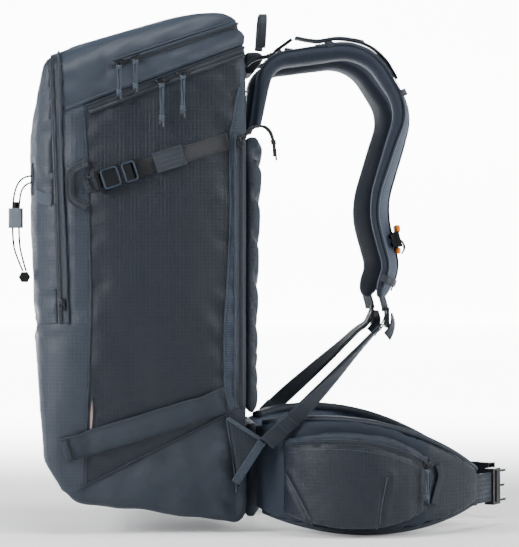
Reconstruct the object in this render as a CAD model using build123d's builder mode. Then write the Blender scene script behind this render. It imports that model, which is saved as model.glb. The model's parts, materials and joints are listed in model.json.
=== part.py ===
"""Ski touring backpack, zipped shut, with its harness and hip belt in the worn shape.

Frame: +X points from the bag to the wearer, +Y to the wearer's left, +Z up. The origin is on the
face of the back panel that touches the wearer, half way up it. Sizes are in millimetres.
The right-hand pieces are modelled, and the left-hand ones are their mirror images.
"""

import math
import os

from build123d import *

# ---------------------------------------------------------------- driving dimensions
WALL = 3.0  # coated fabric with its foam and lining
SKIN = 1.4  # thickness of zip tapes and reinforcement patches
GAP = 0.4  # clearance between pieces that lie against each other
WEB = 1.8  # thickness of webbing
BAG_BACK_X = -12.0  # back wall of the bag, behind the back panel
TOP_SLOPE = 17.0  # degrees, the bag's top rises towards the wearer
LID_EDGE = (-245.0, 205.5, 21.0)  # lower edge of the lid: X, Z and rise in degrees
POCKET_ZIP = (-186.0, 259.0, 18.6)  # lower edge of the lid pocket's zip
POCKET_ZIP_HEIGHT = 7.0
LID_HINGE = (-241.5, 294.8)  # X and Z of the crease that the lid folds on
LID_CORNER = (81.2, -212.0)  # radius about the crease that the lid keeps, in front of an X
MAIN_ZIP_BAND = (-14.0, -1.0)  # heights above the lid's lower edge
MAIN_ZIP_START_X = -225.0
BACK_ZIP_X = (-30.0, -17.0)
BACK_ZIP_Z = (-158.0, 182.0)
RIM_DEPTH = 15.0  # the bag's front rim, which carries the front zip
FLAP_FOOT_Z = -52.0  # crease that the front flap folds on
FLAP_TOP_PLANE = (-257.5, 290.0)  # X and Z, top of the plane between flap and bag
FLAP_FOOT_X = -245.5  # X of that plane at the flap's foot

# Side outline of the filled bag (X, Z) with corner radii, anticlockwise from the bottom rear.
SIDE_OUTLINE = [
    ((BAG_BACK_X, -299), 16),
    ((BAG_BACK_X, 296), 22),
    ((-32, 332), 18),
    ((-95, 334), 140),
    ((-262, 286), 16),
    ((-284, 170), 150),
    ((-282, 70), 300),
    ((-264, -222), 26),
    ((-234, -268), 26),
]
# Half of the plan outline (X, Y), from the rear corner to the front, mirrored about Y = 0.
PLAN_HALF = [((BAG_BACK_X, 124), 16), ((-140, 158), 300), ((-262, 136), 60), ((-287, 60), 110)]
# Half of the outline seen along the slope of the top (Y, height), from the bottom up.
CROSS_HALF = [((112, -323), 30), ((152, 20), 1200), ((132, 338), 34)]
CROSS_TOP = ((0, 360), 300)

SHEET_SIZE = (200.0, 540.0, 1.6)
STAY_SIZE = (14.0, 520.0, 3.0)
STAY_Y = 45.0
PAD_BACK_X = -11.6
PAD_HALF_WIDTH = 118.0
PAD_PROFILE = [(-1.5, -170), (0, 0), (6, 184)]  # arc of the pad's face (X, Z)
GROOVE_SIZE = (124.0, 13.0)  # ventilation grooves, sloping down to the sides
GROOVE_SLOPE = 24.0
GROOVE_PITCH = 52.0
GROOVE_FLOOR_X = -4.5
LUMBAR_HALF_WIDTH = 80.0
LUMBAR_PROFILE = [(PAD_BACK_X, -176), (3, -176), (10, -215), (10, -265), (0, -298), (PAD_BACK_X, -298)]
YOKE_PROFILE = [(-10, 262), (0, 262), (14, 282), (10, 290), (-10, 290)]
HAUL_PATH = [(-27, 297), (-27, 341), (27, 341), (27, 297)]  # Y and Z of the haul loop

COMPRESSION = (-209.0, 118.0, 17.7)  # centre line of the compression strap: X, Z and degrees
COMPRESSION_BUCKLE_X = -171.0
SKI_BAND = (-238.0, -207.5, 17.2)  # centre line of the ski band
SKI_BAND_WIDTH = 31.0
SIDE_LOOP_AT = (-212.0, 118.0)
SIDE_LOOP_PATH = [(2, 28), (-19, 17), (-19, -17), (2, -28)]
WEBBING_WIDTH = 20.0
GUSSET = [(-38, -165), (12.5, -197.5), (-24, -254)]  # side outline of the hip gusset
GUSSET_Y = 132.0
GUSSET_THICK = 2.5
LOWER_STRAP_START = (14.0, -196.0)  # X and Z
LOWER_STRAP_ANGLE = 44.6
LOWER_STRAP_PATH = [(0, -137), (50, -150), (184, -92)]  # along the strap, and Y

STRAP_Y = 84.0  # centre of each shoulder strap
STRAP_WIDTH = 62.0
STRAP_THICK = 14.0
STRAP_FOLD_X = 44.0  # the strap is sewn to the bag up to here, and folds from here on
# Centre line of the shoulder strap seen from the side (X, Z) with corner radii.
STRAP_PATH = [(0, 192), (14, 274), (138, 292), (189, 216), (152, 92), (171, 18), (157, -22)]
STRAP_RADII = [34, 58, 58, 110, 40]
LIFTER_PATH = [(56, 301), (84, 305), (130, 304), (170, 264)]
LIFTER_RADII = [60, 40]
LIFTER_ANCHOR = [(-9.8, 273), (5, 279), (21, 285)]
LIFTER_LOCK = (35.0, 295.0, 36.0)  # X, Z and slope of the upper ladder lock
LOWER_LOCK = (166.0, -46.0, 270.0)  # X, Z and direction of the lower ladder lock
LOCK_SIZE = (26.0, 26.0, 4.0)
STERNUM_AT = (163.3, 48.1, -75.6)  # X and Z on the strap's centre line, and its direction

WING_THICK = 12.0
WING_ARC = [(7, -88), (120, -163), (266, -105)]  # plan of the right wing's middle surface
WING_START_Y = 84.5
WING_END_X = 278.0
WING_TOP = [(0, -180), (144, -174), (WING_END_X, -238)]  # arcs of the wing's edges (X, Z)
WING_BOTTOM = [(WING_END_X, -277), (130, -309), (0, -284)]
POCKET_WALL = 2.2
POCKET_PLAN = [(23, -106), (126, -197), (226, -136)]  # arc of the pocket's face (X, Y)
POCKET_TOP = [(16, -200), (125, -184), (228, -224)]  # arcs of the pocket's edges (X, Z)
POCKET_BOTTOM = [(228, -276), (125, -302), (16, -282)]
BELT_ZIP_ARC = [(16, -208), (125, -197), (228, -240)]
BELT_ZIP_RANGE = (36.0, 212.0)
BELT_ZIP_WIDTH = 7.0
BELT_SLIDER = (204.0, -226.0, -22.0)  # X, Z and direction
BELT_WEB_PLAN = [(281.5, -88), (299, -62)]
BELT_WEB_Z = -262.0
BELT_WEB_HEIGHT = 38.0

CORD_Y = -80.0  # plane of the helmet cord on the front flap
CORD_LINES = (-303.0, -295.0)  # X of the two strands where they run through the cord lock
CORD_DIAMETER = 2.5
CORD_LOCK_Z = (66.0, 91.0)
TOGGLE_AT = (-288.0, 5.0)
TOGGLE_RADIUS = 6.5
CORD_LOCK_SIZE = (18.0, 17.0)
BUTTON_Y = -72.5
BUTTON_RADIUS = 3.3
SLIDER_SIZE = (14.0, 8.0, 3.0)
EYE_HEIGHT = 4.0
PULL_DIAMETER = 4.6
KNOT_RADIUS = 3.4

SLOPE_DIR = (math.cos(math.radians(TOP_SLOPE)), 0, math.sin(math.radians(TOP_SLOPE)))
FAR = 900.0

os.makedirs("parts", exist_ok=True)


def write(part, name):
    """Labels a finished piece and writes it as parts/name.step."""
    part.label = name
    export_step(part, f"parts/{name}.step")


def write_pair(part, name):
    """Writes a right-hand piece and its mirror image."""
    write(part, f"{name}_right")
    with BuildPart() as other:
        add(part)
        mirror(about=Plane.XZ, mode=Mode.REPLACE)
    write(other.part, f"{name}_left")


# ---------------------------------------------------------------- shared shapes
def mirrored(half):
    """A closed outline from one half, repeated on the other side of the second axis."""
    return half + [((a, -b), r) for (a, b), r in reversed(half)]


def grown(outline, amount):
    """A convex outline with every side moved outwards and every corner radius kept in step."""
    points = [Vector(*p) for p, r in outline]
    count = len(points)
    turn = sum((points[i] - points[i - 1]).cross(points[(i + 1) % count] - points[i]).Z
               for i in range(count))
    outward = 1 if turn > 0 else -1
    moved = []
    for i, (corner, radius) in enumerate(outline):
        before = (points[i] - points[i - 1]).normalized()
        after = (points[(i + 1) % count] - points[i]).normalized()
        normals = [Vector(run.Y, -run.X) * outward for run in (before, after)]
        reach = amount / (1 + normals[0].dot(normals[1]))
        corner = points[i] + (normals[0] + normals[1]) * reach
        moved.append(((corner.X, corner.Y), radius + amount))
    return moved


def outline_face(outline, plane, grow=0.0):
    """A face bounded by straight runs and round corners, grown outwards by an amount."""
    outline = grown(outline, grow)
    with BuildSketch(plane) as sketch:
        with BuildLine():
            FilletPolyline(*[p for p, r in outline], radius=[r for p, r in outline], close=True)
        make_face()
    return sketch.sketch


def bag_form(grow=0.0):
    """The outer form of the filled bag, grown outwards by an amount."""
    slope_plane = Plane(origin=(0, 0, 0), x_dir=(0, 1, 0), z_dir=SLOPE_DIR)
    cross = CROSS_HALF + [CROSS_TOP] + [((-a, b), r) for (a, b), r in reversed(CROSS_HALF)]
    with BuildPart() as form:
        extrude(outline_face(SIDE_OUTLINE, Plane.XZ, grow), amount=300, both=True)
        extrude(outline_face(mirrored(PLAN_HALF), Plane.XY, grow), amount=500, both=True,
                mode=Mode.INTERSECT)
        extrude(outline_face(cross, slope_plane, grow), amount=600, both=True,
                mode=Mode.INTERSECT)
    return form.part


def region(points):
    """A prism across the bag, from an outline in the XZ plane."""
    with BuildPart() as prism:
        with BuildSketch(Plane.XZ):
            with BuildLine():
                Polyline(*points, close=True)
            make_face()
        extrude(amount=400, both=True)
    return prism.part


def line_z(line, rise, x):
    """Z at an X of the parallel to a sloping line, at a height square to it."""
    start_x, start_z, degrees = line
    slope = math.radians(degrees)
    return start_z + (x - start_x) * math.tan(slope) + rise / math.cos(slope)


def above(line, rise):
    """Everything above the parallel to a sloping line."""
    ends = [(x, line_z(line, rise, x)) for x in (-FAR, FAR)]
    return region([ends[0], ends[1], (FAR, FAR), (-FAR, FAR)])


def slab(line, low, high, x_from=-FAR, x_to=FAR):
    """The slab between two parallels to a sloping line."""
    return region([(x_from, line_z(line, low, x_from)), (x_to, line_z(line, low, x_to)),
                   (x_to, line_z(line, high, x_to)), (x_from, line_z(line, high, x_from))])


def block(x_range, z_range):
    """Everything across the bag between two X and two Z values."""
    return region([(x_range[0], z_range[0]), (x_range[1], z_range[0]),
                   (x_range[1], z_range[1]), (x_range[0], z_range[1])])


def flap_plane_x(z, shift=0.0):
    """X of the plane between the front flap and the bag, at a height."""
    rise = (z - FLAP_FOOT_Z) / (FLAP_TOP_PLANE[1] - FLAP_FOOT_Z)
    return FLAP_FOOT_X + (FLAP_TOP_PLANE[0] - FLAP_FOOT_X) * rise + shift


def beside_flap_plane(shift, reach, low=-FAR, high=FAR):
    """Everything between the flap's plane moved by a shift and a far X, between two heights."""
    return region([(flap_plane_x(low, shift), low), (flap_plane_x(high, shift), high),
                   (reach, high), (reach, low)])


FORM = bag_form()
CAVITY = bag_form(-WALL)
PATCH_FLOOR = bag_form(GAP / 2)
PATCH_TOP = bag_form(GAP / 2 + SKIN)


def common(first, *others):
    """The space that several solids share."""
    with BuildPart() as shared:
        add(first)
        for other in others:
            add(other, mode=Mode.INTERSECT)
    return shared.part


def layer(floor, top, *prisms):
    """The part of the layer between two forms that lies inside every given prism."""
    with BuildPart() as shell:
        add(top)
        add(floor, mode=Mode.SUBTRACT)
        for prism in prisms:
            add(prism, mode=Mode.INTERSECT)
    return shell.part


def skin_patch(*prisms):
    """A thin patch on the outside of the bag."""
    return layer(PATCH_FLOOR, PATCH_TOP, *prisms)


def side_point(x, z, lift=0.0, form=FORM):
    """A point on a form's right side, lifted square to it, and the outward direction there."""
    point, normal = min(form.find_intersection_points(Axis((x, -400, z), (0, 1, 0))),
                        key=lambda hit: hit[0].Y)
    normal = normal if normal.Y < 0 else -normal
    return point + normal * lift, normal


def side_plane(x, z, degrees, lift=0.0, form=FORM):
    """A plane on a form's right side, its x axis along a direction seen from the side."""
    origin, normal = side_point(x, z, lift, form)
    run = Vector(math.cos(math.radians(degrees)), 0, math.sin(math.radians(degrees)))
    run = run - normal * run.dot(normal)
    return Plane(origin=origin, x_dir=run.normalized(), z_dir=normal)


def band(path, radii, thick, plane=Plane.XZ):
    """The face of a strip of even thickness along a path with round corners."""
    with BuildSketch(plane) as sketch:
        with BuildLine():
            FilletPolyline(*path, radius=radii)
            offset(amount=thick / 2, side=Side.BOTH)
        make_face()
    return sketch.sketch


def ribbon(path, radii, thick, width, y):
    """A strip along a path seen from the side, of a width centred on a Y."""
    with BuildPart() as strip:
        extrude(band(path, radii, thick, Plane.XZ.offset(-y)), amount=width / 2, both=True)
    return strip.part


def route_radii(points):
    """Corner radii as large as the neighbouring runs allow."""
    radii = []
    for before, corner, after in zip(points, points[1:], points[2:]):
        runs = [Vector(*corner) - Vector(*before), Vector(*after) - Vector(*corner)]
        turn = math.radians(runs[0].get_angle(runs[1]))
        radii.append(0.45 * min(runs[0].length, runs[1].length) / math.tan(turn / 2))
    return radii


def tube(points, diameter, name):
    """A cord of straight runs joined by tangent arcs."""
    radii = route_radii(points)
    with BuildPart() as cord:
        with BuildLine():
            path = FilletPolyline(*points, radius=radii)
        with BuildSketch(Plane(origin=path @ 0, z_dir=path % 0)):
            Circle(diameter / 2)
        sweep()
    length = path.length
    print(name, "length", round(length, 1), "radii", [round(r, 1) for r in radii],
          "volume ratio", round(cord.part.volume / (math.pi / 4 * diameter**2 * length), 4))
    return cord.part


# ---------------------------------------------------------------- bag, lid and front flap
LID_SPACE = common(above(LID_EDGE, 0), beside_flap_plane(RIM_DEPTH, FAR))
FLAP_SPACE = beside_flap_plane(0, -FAR, low=FLAP_FOOT_Z)

with BuildPart() as main_bag:
    add(FORM)
    add(LID_SPACE, mode=Mode.SUBTRACT)
    add(FLAP_SPACE, mode=Mode.SUBTRACT)
    add(common(CAVITY, beside_flap_plane(WALL, FAR)), mode=Mode.SUBTRACT)
    add(common(CAVITY, beside_flap_plane(0, -FAR, high=FLAP_FOOT_Z)), mode=Mode.SUBTRACT)
write(main_bag.part, "main_bag")

front_flap = layer(CAVITY, FORM, beside_flap_plane(-GAP, -FAR, low=FLAP_FOOT_Z + GAP))
write(front_flap, "front_flap")

with BuildPart() as lid_corner:
    add(block((-FAR, LID_CORNER[1]), (-FAR, LID_HINGE[1])))
    with BuildSketch(Plane.XZ):
        with Locations(LID_HINGE):
            Circle(LID_CORNER[0])
    extrude(amount=400, both=True, mode=Mode.SUBTRACT)

with BuildPart() as lid:
    add(FORM)
    add(above(LID_EDGE, GAP), mode=Mode.INTERSECT)
    add(beside_flap_plane(RIM_DEPTH + GAP, FAR), mode=Mode.INTERSECT)
    add(common(CAVITY, above(LID_EDGE, GAP + WALL), beside_flap_plane(RIM_DEPTH + GAP + WALL, FAR)),
        mode=Mode.SUBTRACT)
    add(slab(POCKET_ZIP, 0, POCKET_ZIP_HEIGHT, x_from=POCKET_ZIP[0]), mode=Mode.SUBTRACT)
    add(lid_corner.part, mode=Mode.SUBTRACT)
write(lid.part, "lid")

# ---------------------------------------------------------------- zips
write(layer(CAVITY, FORM, slab(POCKET_ZIP, GAP, POCKET_ZIP_HEIGHT - GAP, POCKET_ZIP[0] + GAP)),
      "lid_pocket_zip")
write(skin_patch(slab(LID_EDGE, *MAIN_ZIP_BAND, x_from=MAIN_ZIP_START_X)), "main_zip")
write(skin_patch(beside_flap_plane(1, FAR, low=FLAP_FOOT_Z + 3),
                 beside_flap_plane(RIM_DEPTH - 1, -FAR, low=FLAP_FOOT_Z + 3)), "front_zip")
write(skin_patch(block(BACK_ZIP_X, BACK_ZIP_Z)), "back_zip")


def zip_slider(plane):
    """A zip slider on a plane: its body, and the bridge that its pull is tied to."""
    length, width, height = SLIDER_SIZE
    with BuildPart(plane) as slider:
        Box(length, width, height, align=(Align.CENTER, Align.CENTER, Align.MIN))
        with Locations((0, 0, height)):
            Box(9, 2.6, EYE_HEIGHT, align=(Align.CENTER, Align.CENTER, Align.MIN))
        with Locations(Location((0, 0, height + EYE_HEIGHT / 2), (90, 0, 0))):
            Cylinder(1.2, 10, mode=Mode.SUBTRACT)
    return slider.part


def cord_pull(points, name):
    """A doubled cord with a knot below the slider and another near its loose ends."""
    with BuildPart() as pull:
        add(tube(points, PULL_DIAMETER, name))
        for first, last, share in ((points[0], points[1], 0.4), (points[-2], points[-1], 0.5)):
            with Locations(Vector(*first) + (Vector(*last) - Vector(*first)) * share):
                Sphere(KNOT_RADIUS)
    write(pull.part, name)


def hanging(x, z_top, length, lifts):
    """Points down the bag's right side, at growing depths below the first."""
    points = []
    for share, lift in zip((0, 0.5, 1), lifts):
        point, normal = side_point(x, z_top - share * length)
        points.append((x, point.Y - lift, z_top - share * length))
    return points


ON_PATCH = GAP + SKIN + GAP
MAIN_ZIP_RISE = sum(MAIN_ZIP_BAND) / 2
SIDE_SLIDERS = {
    "lid_pocket_slider_front": (-171, line_z(POCKET_ZIP, 3.5, -171), POCKET_ZIP[2], GAP),
    "lid_pocket_slider_rear": (-151, line_z(POCKET_ZIP, 3.5, -151), POCKET_ZIP[2], GAP),
    "main_zip_slider_front": (-119, line_z(LID_EDGE, MAIN_ZIP_RISE, -119), LID_EDGE[2], ON_PATCH),
    "main_zip_slider_rear": (-93, line_z(LID_EDGE, MAIN_ZIP_RISE, -93), LID_EDGE[2], ON_PATCH),
    "front_zip_slider": (flap_plane_x(-28, RIM_DEPTH / 2), -28, 92, ON_PATCH),
    "back_zip_slider": (-24, 172, 90, ON_PATCH),
}
for name, (x, z, degrees, lift) in SIDE_SLIDERS.items():
    plane = side_plane(x, z, degrees, lift)
    print(name, "at", plane.origin, "along", plane.x_dir)
    write(zip_slider(plane), name)

PULL_LENGTHS = {"lid_pocket_slider_front": 44, "lid_pocket_slider_rear": 42,
                "main_zip_slider_front": 56, "main_zip_slider_rear": 54}
for name, length in PULL_LENGTHS.items():
    x, z = SIDE_SLIDERS[name][:2]
    cord_pull(hanging(x, z - 3, length, (13, 10.5, 9)), name.replace("slider", "pull"))
cord_pull([(-20, -141, 174), (-10, -142, 190), (10, -141, 192), (20, -140, 174), (21, -139, 149)],
          "back_zip_pull")

# ---------------------------------------------------------------- frame and back
SHEET_X = BAG_BACK_X - WALL - GAP - SHEET_SIZE[2]
with BuildPart() as frame_sheet:
    with BuildSketch(Plane.YZ.offset(SHEET_X)):
        RectangleRounded(SHEET_SIZE[0], SHEET_SIZE[1], 30)
    extrude(amount=SHEET_SIZE[2])
write(frame_sheet.part, "frame_sheet")

with BuildPart() as frame_stays:
    with BuildSketch(Plane.YZ.offset(SHEET_X - GAP - STAY_SIZE[2])):
        with Locations((-STAY_Y, 0), (STAY_Y, 0)):
            RectangleRounded(STAY_SIZE[0], STAY_SIZE[1], 6.5)
    extrude(amount=STAY_SIZE[2])
write(frame_stays.part, "frame_stays")

with BuildPart() as back_panel_pad:
    with BuildSketch(Plane.XZ):
        with BuildLine():
            low, middle, high = PAD_PROFILE
            ThreePointArc(low, middle, high)
            Polyline(high, (PAD_BACK_X, high[1]), (PAD_BACK_X, low[1]), low)
        make_face()
    extrude(amount=PAD_HALF_WIDTH, both=True)
    with BuildSketch(Plane.YZ.offset(GROOVE_FLOOR_X)):
        Rectangle(30, 400)
        for side in (-1, 1):
            for row in range(6):
                with Locations(Location((side * 66, row * GROOVE_PITCH - 120), side * GROOVE_SLOPE)):
                    SlotOverall(*GROOVE_SIZE)
    extrude(amount=30, mode=Mode.SUBTRACT)
write(back_panel_pad.part, "back_panel_pad")

with BuildPart() as lumbar_pad:
    with BuildSketch(Plane.XZ):
        with BuildLine():
            Polyline(*LUMBAR_PROFILE, close=True)
        make_face()
    extrude(amount=LUMBAR_HALF_WIDTH, both=True)
write(lumbar_pad.part, "lumbar_pad")

with BuildPart() as yoke_panel:
    with BuildSketch(Plane.XZ):
        with BuildLine():
            Polyline(*YOKE_PROFILE, close=True)
        make_face()
    extrude(amount=50, both=True)
write(yoke_panel.part, "yoke_panel")

with BuildPart() as haul_loop:
    extrude(band(HAUL_PATH, [23, 23], 2.4, Plane.YZ.offset(6)), amount=12)
write(haul_loop.part, "haul_loop")

# ---------------------------------------------------------------- straps sewn to the bag
loop_plane = side_plane(*SIDE_LOOP_AT, 0, 3.0)
with BuildPart() as side_loop:
    extrude(band(SIDE_LOOP_PATH, [14, 14], 10, loop_plane), amount=WEB)
    mirror(about=Plane.XZ)
with BuildPart() as carry_loops:
    add(skin_patch(slab(SKI_BAND, -SKI_BAND_WIDTH / 2, SKI_BAND_WIDTH / 2, -238, -40)))
    add(side_loop.part)
write(carry_loops.part, "carry_loops")

KEEPER_FLOOR = bag_form(GAP + SKIN + GAP)
KEEPER_TOP = bag_form(GAP + SKIN + GAP + SKIN)
with BuildPart() as compression_straps:
    half = WEBBING_WIDTH / 2
    add(skin_patch(slab(COMPRESSION, -half, half, -144, -34)))
    add(skin_patch(slab(COMPRESSION, -half, half, -214, -200)))
    add(layer(KEEPER_FLOOR, KEEPER_TOP, slab(COMPRESSION, -half - 3, half + 3, -127, -92)))
write(compression_straps.part, "compression_straps")

with BuildPart() as hip_gussets:
    with BuildSketch(Plane.XZ.offset(GUSSET_Y)):
        with BuildLine():
            Polyline(*GUSSET, close=True)
        make_face()
    extrude(amount=GUSSET_THICK)
    mirror(about=Plane.XZ)
write(hip_gussets.part, "hip_gussets")

lower_run = math.radians(LOWER_STRAP_ANGLE)
lower_plane = Plane(origin=(LOWER_STRAP_START[0], 0, LOWER_STRAP_START[1]),
                    x_dir=(math.cos(lower_run), 0, math.sin(lower_run)),
                    z_dir=(-math.sin(lower_run), 0, math.cos(lower_run)))
lifter_anchor = ribbon(LIFTER_ANCHOR, [30], WEB, WEBBING_WIDTH, -STRAP_Y)
with BuildPart() as anchor_webbing:
    extrude(band(LOWER_STRAP_PATH, [60], WEB, lower_plane), amount=WEBBING_WIDTH / 2, both=True)
    add(lifter_anchor)
    mirror(about=Plane.XZ)
write(anchor_webbing.part, "anchor_webbing")

# ---------------------------------------------------------------- shoulder straps
whole_strap = ribbon(STRAP_PATH, STRAP_RADII, STRAP_THICK, STRAP_WIDTH, -STRAP_Y)
with BuildPart() as strap_roots:
    add(whole_strap)
    add(block((-FAR, STRAP_FOLD_X - GAP), (-FAR, FAR)), mode=Mode.INTERSECT)
    mirror(about=Plane.XZ)
write(strap_roots.part, "strap_roots")
write_pair(common(whole_strap, block((STRAP_FOLD_X + GAP, FAR), (-FAR, FAR))), "shoulder_strap")
write_pair(ribbon(LIFTER_PATH, LIFTER_RADII, WEB, WEBBING_WIDTH, -STRAP_Y),
           "load_lifter_strap")


def strap_plane(x, z, degrees, lift=0.0):
    """A plane over a right shoulder strap, its x axis along a direction in the XZ plane."""
    turn = math.radians(degrees)
    out = Vector(-math.sin(turn), 0, math.cos(turn))
    return Plane(origin=Vector(x, -STRAP_Y, z) + out * lift,
                 x_dir=(math.cos(turn), 0, math.sin(turn)), z_dir=out)


def ladder_lock(plane):
    """A ladder lock: a plate with two slots that the webbing goes round."""
    length, width, height = LOCK_SIZE
    with BuildPart() as lock:
        with BuildSketch(plane):
            RectangleRounded(length, width, 3)
            with Locations((-length / 4, 0), (length / 4, 0)):
                Rectangle(5, width - 6, mode=Mode.SUBTRACT)
        extrude(amount=height / 2, both=True)
    return lock.part


write_pair(ladder_lock(strap_plane(*LIFTER_LOCK)), "load_lifter_lock")
write_pair(ladder_lock(strap_plane(*LOWER_LOCK)), "ladder_lock")


# ---------------------------------------------------------------- side-release buckles
def buckle_female(plane, length, width, height):
    """A buckle's socket, open at its +x end, with a webbing slot at the other."""
    wall = 2.0
    with BuildPart(plane) as socket:
        Box(length, width, height, align=(Align.MIN, Align.CENTER, Align.MIN))
        with Locations((0.35 * length, 0, wall)):
            Box(length, width - 2 * wall, height - 2 * wall,
                align=(Align.MIN, Align.CENTER, Align.MIN), mode=Mode.SUBTRACT)
        with Locations((0.18 * length, 0, 0)):
            Box(5, width - 3 * wall, 3 * height, mode=Mode.SUBTRACT)
    return socket.part


def buckle_male(plane, length, width, height, reach):
    """A buckle's plug: a webbing bar from x = 0 on, and two prongs that reach back from it."""
    wall = 2.0
    thick = height - 2 * wall - 2 * GAP
    with BuildPart(plane) as plug:
        Box(length, width, height, align=(Align.MIN, Align.CENTER, Align.MIN))
        with Locations((0.62 * length, 0, 0)):
            Box(5, width - 3 * wall, 3 * height, mode=Mode.SUBTRACT)
        prong_y = width / 2 - wall - GAP - 2
        with Locations((0.1, prong_y, height / 2), (0.1, -prong_y, height / 2)):
            Box(reach, 3.2, thick, align=(Align.MAX, Align.CENTER, Align.CENTER))
        with Locations((0.1, 0, height / 2)):
            Box(reach - 4, 3, thick, align=(Align.MAX, Align.CENTER, Align.CENTER))
    return plug.part


def shifted(plane, along):
    """A plane moved along its own x axis."""
    return Plane(origin=plane.origin + plane.x_dir * along, x_dir=plane.x_dir, z_dir=plane.z_dir)


compression_plane = side_plane(COMPRESSION_BUCKLE_X, line_z(COMPRESSION, 0, COMPRESSION_BUCKLE_X),
                               COMPRESSION[2], ON_PATCH + 0.6)
write_pair(buckle_female(shifted(compression_plane, -29), 33, 25, 8), "compression_buckle_female")
write_pair(buckle_male(shifted(compression_plane, 4 + GAP), 24, 25, 8, 13),
           "compression_buckle_male")
print("compression buckle slides along", compression_plane.x_dir)

sternum_plane = strap_plane(*STERNUM_AT, lift=STRAP_THICK / 2 + 1)
with BuildPart() as sternum_slider:
    with BuildSketch(sternum_plane):
        RectangleRounded(16, 28, 2)
        Rectangle(4, 20, mode=Mode.SUBTRACT)
    extrude(amount=4)
write_pair(sternum_slider.part, "sternum_slider")
# The buckle halves lie over the sliders, their mouths towards the wearer's middle.
sternum_mouth = Plane(origin=sternum_plane.origin + sternum_plane.z_dir * 5 + Vector(0, -6, 0),
                      x_dir=(0, 1, 0), z_dir=sternum_plane.z_dir)
write(buckle_male(Plane(origin=sternum_mouth.origin + Vector(0, 14, 0), x_dir=(0, -1, 0),
                        z_dir=sternum_plane.z_dir), 16, 20, 7, 14), "sternum_buckle_male")
with BuildPart() as sternum_female:
    add(buckle_female(sternum_mouth, 26, 20, 7))
    mirror(about=Plane.XZ, mode=Mode.REPLACE)
write(sternum_female.part, "sternum_buckle_female")


# ---------------------------------------------------------------- hip belt
def arc_circle(start, middle, end):
    """Centre and radius of the circle through three points in the plan."""
    with BuildLine() as line:
        arc = ThreePointArc(start, middle, end)
    return arc.arc_center, arc.radius


WING_CENTER, WING_RADIUS = arc_circle(*WING_ARC)
WING_OUTER = WING_RADIUS + WING_THICK / 2


def cylinder(radius):
    """A tall cylinder about the axis that the belt wing curves round."""
    with BuildPart() as solid:
        with BuildSketch(Plane.XY.offset(-400)):
            with Locations((WING_CENTER.X, WING_CENTER.Y)):
                Circle(radius)
        extrude(amount=400)
    return solid.part


with BuildPart() as wing_fin:
    with BuildSketch(Plane.XZ.offset(WING_START_Y)):
        with BuildLine():
            ThreePointArc(*WING_TOP)
            Line(WING_TOP[-1], WING_BOTTOM[0])
            ThreePointArc(*WING_BOTTOM)
            Line(WING_BOTTOM[-1], WING_TOP[0])
        make_face()
    extrude(amount=200)
write_pair(layer(cylinder(WING_RADIUS - WING_THICK / 2), cylinder(WING_OUTER), wing_fin.part),
           "belt_wing")


def moved(points, dx, dy):
    """Points moved by the same amounts."""
    return [(x + dx, y + dy) for x, y in points]


def pocket_form(inset):
    """The belt pocket's outer form, shrunk by an amount on every side."""
    first, middle, last = POCKET_PLAN
    first, last = (first[0] + 2 * inset, first[1]), (last[0] - 2 * inset, last[1])
    top, bottom = moved(POCKET_TOP, 0, -inset), moved(POCKET_BOTTOM, 0, inset)
    with BuildPart() as form:
        with BuildSketch(Plane.XY.offset(-400)):
            with BuildLine():
                ThreePointArc(first, (middle[0], middle[1] + inset), last)
                Line(last, first)
            make_face()
            with Locations((WING_CENTER.X, WING_CENTER.Y)):
                Circle(WING_OUTER + GAP + inset, mode=Mode.SUBTRACT)
        extrude(amount=400)
        with BuildSketch(Plane.XZ):
            with BuildLine():
                ThreePointArc(*top)
                Line(top[-1], bottom[0])
                ThreePointArc(*bottom)
                Line(bottom[-1], top[0])
            make_face()
        extrude(amount=300, mode=Mode.INTERSECT)
    return form.part


def pocket_zip_band(width, x_from, x_to):
    """A band across the belt pocket along its zip, outside the wing."""
    top = moved(BELT_ZIP_ARC, 0, width / 2)
    bottom = moved(reversed(BELT_ZIP_ARC), 0, -width / 2)
    with BuildPart() as cutter:
        with BuildSketch(Plane.XZ):
            with BuildLine():
                ThreePointArc(*top)
                Line(top[-1], bottom[0])
                ThreePointArc(*bottom)
                Line(bottom[-1], top[0])
            make_face()
        extrude(amount=300)
        add(cylinder(WING_OUTER + 5), mode=Mode.SUBTRACT)
        add(block((x_from, x_to), (-FAR, FAR)), mode=Mode.INTERSECT)
    return cutter.part


POCKET = pocket_form(0)
zip_from, zip_to = BELT_ZIP_RANGE
with BuildPart() as belt_pocket:
    add(POCKET)
    add(pocket_form(POCKET_WALL), mode=Mode.SUBTRACT)
    add(pocket_zip_band(BELT_ZIP_WIDTH, zip_from, zip_to), mode=Mode.SUBTRACT)
write(belt_pocket.part, "belt_pocket")
write(layer(pocket_form(SKIN), POCKET,
            pocket_zip_band(BELT_ZIP_WIDTH - 2 * GAP, zip_from + GAP, zip_to - GAP)),
      "belt_pocket_zip")

slider_x, slider_z, slider_angle = BELT_SLIDER
belt_slider_plane = side_plane(slider_x, slider_z, slider_angle, GAP, POCKET)
write(zip_slider(belt_slider_plane), "belt_pocket_slider")
print("belt_pocket_slider at", belt_slider_plane.origin, "along", belt_slider_plane.x_dir)
pull_y = belt_slider_plane.origin.Y - 12.5
cord_pull([(slider_x, pull_y + 2, slider_z - 4), (slider_x, pull_y, slider_z - 26),
           (slider_x, pull_y, slider_z - 48)], "belt_pocket_pull")

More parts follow.
